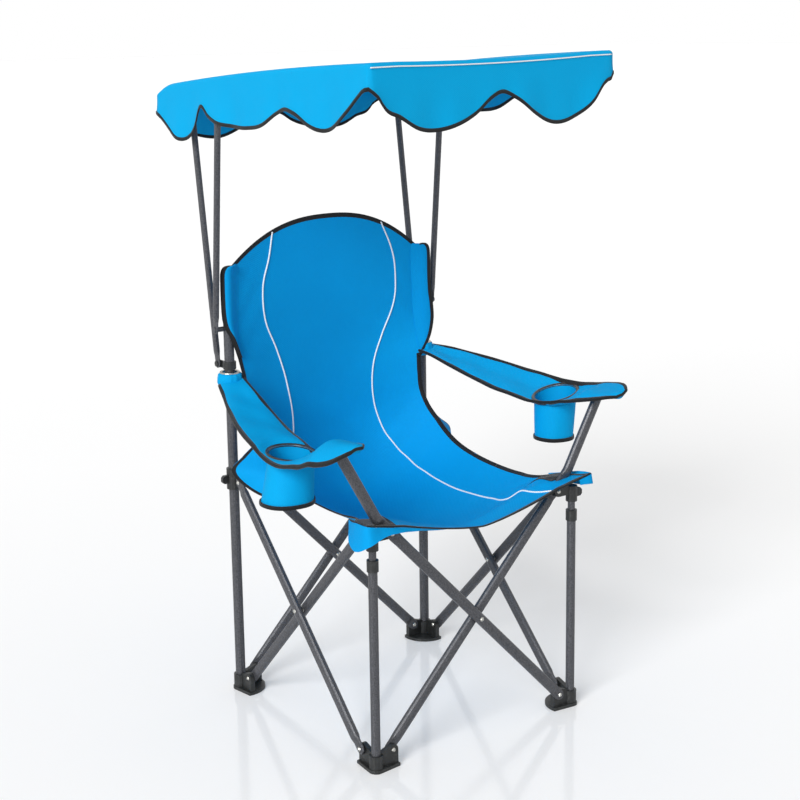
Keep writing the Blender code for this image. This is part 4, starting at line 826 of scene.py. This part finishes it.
for side, sign in SIDES:
    rise, outwards, backwards = cup_plane(side)
    slopes = (sign * outwards, backwards)
    centre = cup_middle(side) * (sign, 1, 1) + (0, 0, rise)
    base = BASE_WIDTHS[side]
    wall = np.linspace(0, 1, 34)
    outer_r = CUP_RADIUS - RING_OUT + (base - CUP_RADIUS) * wall ** 1.3
    floor_r = np.linspace(base - 0.003, 0.0006, 8)
    under = np.stack([floor_r, np.full(8, -CUP_DROP + 0.001) - 0.002 * (1 - (floor_r / base) ** 2)], 1)
    profile = np.concatenate([
        under[::-1], np.stack([outer_r, LIP - (CUP_DROP + 0.003) * wall], 1)[::-1],
        np.stack([outer_r - CUP_CLOTH, LIP - (CUP_DROP + 0.001) * wall], 1), under + (0, 0.002)])
    turn, r, z = circle(64), profile[:, :1], profile[:, 1:]
    down = np.clip(-z / CUP_DROP, 0, 1)
    slack = 1 + SLACK * np.sin(5 * turn + 1) * down
    tilt = (slopes[0] * np.cos(turn) + slopes[1] * np.sin(turn)) * np.clip(1 + z / CUP_DROP, 0, 1)
    points = centre + np.stack([r * np.cos(turn) * slack + sign * BASE_SHIFTS[side] * down,
                                r * np.sin(turn) * slack * (1 - SQUEEZES[side] * down), z + r * tilt], -1)
    weave = round_weave(profile, np.linspace(0, 0.3, 65))[..., ::-1]
    pocket = surface(f"cup_pocket_cloth_{side}", points, weave, arm_cloth, closed=True, caps=(0, -1))
    turn = np.linspace(0, 2 * math.pi, 97)
    reach = (base + 0.0002) * (1 + SLACK * np.sin(5 * turn + 1))
    out = np.stack([reach * np.cos(turn), reach * np.sin(turn) * (1 - SQUEEZES[side]), 0 * turn], -1)
    rim = out + centre + (sign * BASE_SHIFTS[side], 0, -CUP_DROP)
    upwards = np.tile((0.0, 0.0, 1.0), (97, 1))
    base_tape = tape(f"cup_tape_{side}", rim, upwards, unit(out), width=0.0085)
    ring = hoop(f"cup_wire_{side}", centre + (0, 0, RING_LIFT), CUP_RADIUS + RING_OUT, RING_WIRE,
                ring_tube, slopes)
    for piece in (pocket, base_tape, ring):
        goes_with_arm(side, piece)
    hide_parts(f"cup_pocket_{side}")
    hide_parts(f"cup_ring_{side}")

# Canopy: one panel of light polyester over the two rails, seamed to a scalloped valance all round.
# The cloth is calendered, so it is smoother and brighter than the sling's.

CANOPY_X, CANOPY_FRONT, CANOPY_BACK = 0.299, -0.330, 0.468
VALANCE = 0.131
FOLD = 0.007            # the radius of the cover's edge over the rails
RIGHT_RISE = 0.009
REAR_DROP = 0.80        # the rear valance's depth, as a share of the front one's
RAIL_X, RAIL_TOP, RAIL_PIN, RAIL_END = 0.234, 1.349, 0.213, 0.394
RAIL_FALL, RAIL_ARCH, RAIL_MIDDLE, RAIL_HALF = 4.1, 0.006, 0.0435, 0.3455
OVER_RAIL, PANEL_SAG, REAR_DROOP, OVERHANG = 0.0096, 0.004, 0.018, 0.074
SIDE_SCALLOPS = np.array([
    (0, 0.35), (0.035, 0.50), (0.07, 0.67), (0.11, 0.82), (0.165, 0.93), (0.235, 0.855),
    (0.3, 0.665), (0.343, 0.61), (0.385, 0.665), (0.44, 0.815), (0.52, 0.855), (0.6, 0.81),
    (0.67, 0.735), (0.715, 0.62), (0.755, 0.46), (0.79, 0.75), (0.83, 0.915), (0.875, 0.93),
    (0.93, 0.74), (1, 0.345)])
END_SCALLOPS = np.array([
    (0, 0.37), (0.04, 0.635), (0.1, 0.77), (0.17, 0.935), (0.25, 0.975), (0.33, 0.9), (0.41, 0.75),
    (0.465, 0.57), (0.52, 0.49), (0.575, 0.595), (0.65, 0.83), (0.74, 1), (0.83, 0.945),
    (0.91, 0.75), (0.96, 0.505), (1, 0.42)])
TAFFETA_MM = 2.0        # the yarn is finer, drawn coarser so that it shows
canopy_cloth = woven("polyester_taffeta_light_blue", "#00a6dd", "#009ad2", 0.6, TAFFETA_MM, crease=0.3)


def canopy_top(x, y):
    """The cover's height: the rails' slope and slight arch, a sag of 4 mm across the middle
    between the rails, a rise of 9 mm towards the right, and a droop of 18 mm over the rear end."""
    def rail(d):
        return (RAIL_ARCH * (1 - ((d - RAIL_MIDDLE) / RAIL_HALF) ** 2)
                - d * math.tan(math.radians(RAIL_FALL)))
    inward = np.minimum(1, np.abs(x) / RAIL_X)
    behind = np.maximum(0, y - RAIL_END) / OVERHANG
    return (RAIL_TOP + rail(y) - rail(RAIL_PIN) + OVER_RAIL - PANEL_SAG * (1 - inward ** 2)
            - REAR_DROOP * behind ** 2 + RIGHT_RISE * (x + CANOPY_X) / (2 * CANOPY_X))


# the outline once round, anticlockwise from the front left corner, with each point's outward
# direction and its valance's drop
ENDS, FLANKS = 120, 150         # points along each end and along each side
across, back_way = np.linspace(-1, 1, ENDS + 1)[:-1], np.linspace(0, 1, FLANKS + 1)[:-1]
x_in, y_front, y_back = CANOPY_X - FOLD, CANOPY_FRONT + FOLD, CANOPY_BACK - FOLD
outline = np.concatenate([
    np.stack([across * x_in, np.full(ENDS, y_front)], 1),
    np.stack([np.full(FLANKS, x_in), y_front + back_way * (y_back - y_front)], 1),
    np.stack([-across * x_in, np.full(ENDS, y_back)], 1),
    np.stack([np.full(FLANKS, -x_in), y_back - back_way * (y_back - y_front)], 1)])
end_drop = smooth_line(*END_SCALLOPS.T, (across + 1) / 2)
drop = VALANCE * np.concatenate([
    end_drop, smooth_line(*SIDE_SCALLOPS.T, back_way),
    REAR_DROP * end_drop + (1 - REAR_DROP) * 0.36 * np.abs(across) ** 6,
    smooth_line(*SIDE_SCALLOPS.T, 1 - back_way)])
out = np.repeat([(0.0, -1.0), (1.0, 0.0), (0.0, 1.0), (-1.0, 0.0)], (ENDS, FLANKS, ENDS, FLANKS), axis=0)
ROUND = len(outline)
for corner in (0, ENDS, ENDS + FLANKS, 2 * ENDS + FLANKS):
    for step in range(-2, 3):
        share = (step + 2) / 4
        turned = out[(corner - 4) % ROUND] * (1 - share) + out[(corner + 4) % ROUND] * share
        out[(corner + step) % ROUND] = unit(turned)
round_way = lengths(outline)


def canopy_rings():
    """Rings of the cover: shares of the outline for the top, a quarter round of 7 mm over the
    edge, and then straight down by shares of the scalloped drop, with a slight flutter."""
    rings, weave = [], []
    for share in np.linspace(0.02, 1, 34):
        ring = outline * share + (0, -MIDDLE_Y * (1 - share))
        rings.append(np.column_stack([ring, canopy_top(*ring.T)]))
        weave.append(ring)
    top = rings[-1]
    for angle in np.radians((22.5, 45, 67.5, 90)):
        move = np.column_stack([out * FOLD * math.sin(angle), np.full(ROUND, -FOLD * (1 - math.cos(angle)))])
        rings.append(top + move)
        weave.append(outline + out * FOLD * angle)
    edge = rings[-1]
    flutter = 0.0022 * np.sin(round_way * 38) + 0.0014 * np.sin(round_way * 71 + 1)
    for share in np.linspace(0, 1, 25)[1:]:
        down = share * (drop - FOLD)
        push = flutter * share ** 1.5 + 0.004 * share ** 2
        rings.append(edge + np.column_stack([out * push[:, None], -down]))
        weave.append(outline + out * (FOLD * 1.57 + down)[:, None])
    return np.array(rings), np.array(weave)


rings, weave = canopy_rings()
weave = np.concatenate([weave, weave[:, :1]], 1)
canopy = surface("canopy_panel", rings, weave, canopy_cloth, closed=True, caps=(0,))
thicken(canopy, 0.0012)

hem = np.concatenate([rings[-1], rings[-1][:1]])
hem_out = np.column_stack([np.concatenate([out, out[:1]]), np.zeros(ROUND + 1)])
hem_up = np.tile((0.0, 0.0, 1.0), (ROUND + 1, 1))
canopy_tape = tape("canopy_tape", hem, hem_up, hem_out, width=0.0078, thick=0.0032, sides=16)

# white piping let into the seam between the panel and the front valance
x = np.linspace(-CANOPY_X + 0.003, CANOPY_X - 0.008, 160)
seam_top = canopy_top(np.clip(x, -x_in, x_in), y_front) - 0.0075
seam = np.column_stack([x, np.full(160, CANOPY_FRONT - 0.0004), seam_top])
canopy_piping = piping("canopy_piping", seam, np.tile((0.0, -1.0, 0.0), (160, 1)), 0.0012)

for piece in (canopy, canopy_tape, canopy_piping):
    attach(piece, "rail_left")
    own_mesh(piece)
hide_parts("canopy_cover")

# The room: a pale glossy studio floor, a soft key light from the left and an even sky.

floor_coat, gloss = finish_of("studio_floor", Roughness=0.11)
plug(floor_coat, gloss, {"Base Color": ink("#f8f8f8"), "Specular IOR Level": 0.45,
                         "Emission Color": (1, 1, 1, 1)})
seen = add(floor_coat, "LightPath").outputs["Is Camera Ray"]
lift = add(floor_coat, "Math", {0: seen, 1: 0.10}, operation="MULTIPLY")
plug(floor_coat, gloss, {"Emission Strength": lift})
floor = bpy.data.objects.new("floor", bpy.data.meshes.new("floor"))
floor.data.from_pydata([(-60, -60, 0), (60, -60, 0), (60, 60, 0), (-60, 60, 0)], [], [(0, 1, 2, 3)])
floor.data.materials.append(floor_coat)
bpy.context.scene.collection.objects.link(floor)

world = bpy.data.worlds.new("studio")
bpy.context.scene.world = world
world.use_nodes = True
background = world.node_tree.nodes["Background"]
seen = add(world, "LightPath").outputs
mirror = add(world, "Math", {0: seen["Is Camera Ray"], 1: seen["Is Glossy Ray"]}, operation="MAXIMUM")
through_glass = add(world, "Math", {0: mirror, 1: seen["Is Transmission Ray"]}, operation="MAXIMUM")
strength = add(world, "MapRange", {"Value": through_glass, "To Min": 0.52, "To Max": 1.0})
plug(world, background, {"Color": (1, 1, 1, 1), "Strength": strength})

lamp = bpy.data.lights.new("key", "SUN")
lamp.energy, lamp.angle = 2.6, math.radians(28)
key = bpy.data.objects.new("key", lamp)
key.rotation_euler = Vector((0.72, 0.35, -0.44)).to_track_quat("-Z", "Y").to_euler()
bpy.context.scene.collection.objects.link(key)

# the camera stands where the photograph's did: left of the chair's front, a little above it
turn, pitch, roll = (math.radians(angle) for angle in (-35.903, 11.754, -0.917))
ahead = Vector((-math.sin(turn) * math.cos(pitch), math.cos(turn) * math.cos(pitch), -math.sin(pitch)))
right = Vector((math.cos(turn), math.sin(turn), 0))
up = right.cross(ahead)
across = math.cos(roll) * right + math.sin(roll) * up
upward = -math.sin(roll) * right + math.cos(roll) * up
eye = bpy.data.cameras.new("camera")
eye.lens, eye.sensor_width = 1597.0 / 800 * 36, 36
eye.shift_x, eye.shift_y = 0.019, -0.06
camera = bpy.data.objects.new("camera", eye)
camera.matrix_world = Matrix.Translation((-1.9644, -2.6659 + MIDDLE_Y, 1.4672)) @ Matrix(
    (across, upward, -ahead)).transposed().to_4x4()
bpy.context.scene.collection.objects.link(camera)
bpy.context.scene.camera = camera
bpy.context.scene.view_settings.view_transform = "Standard"
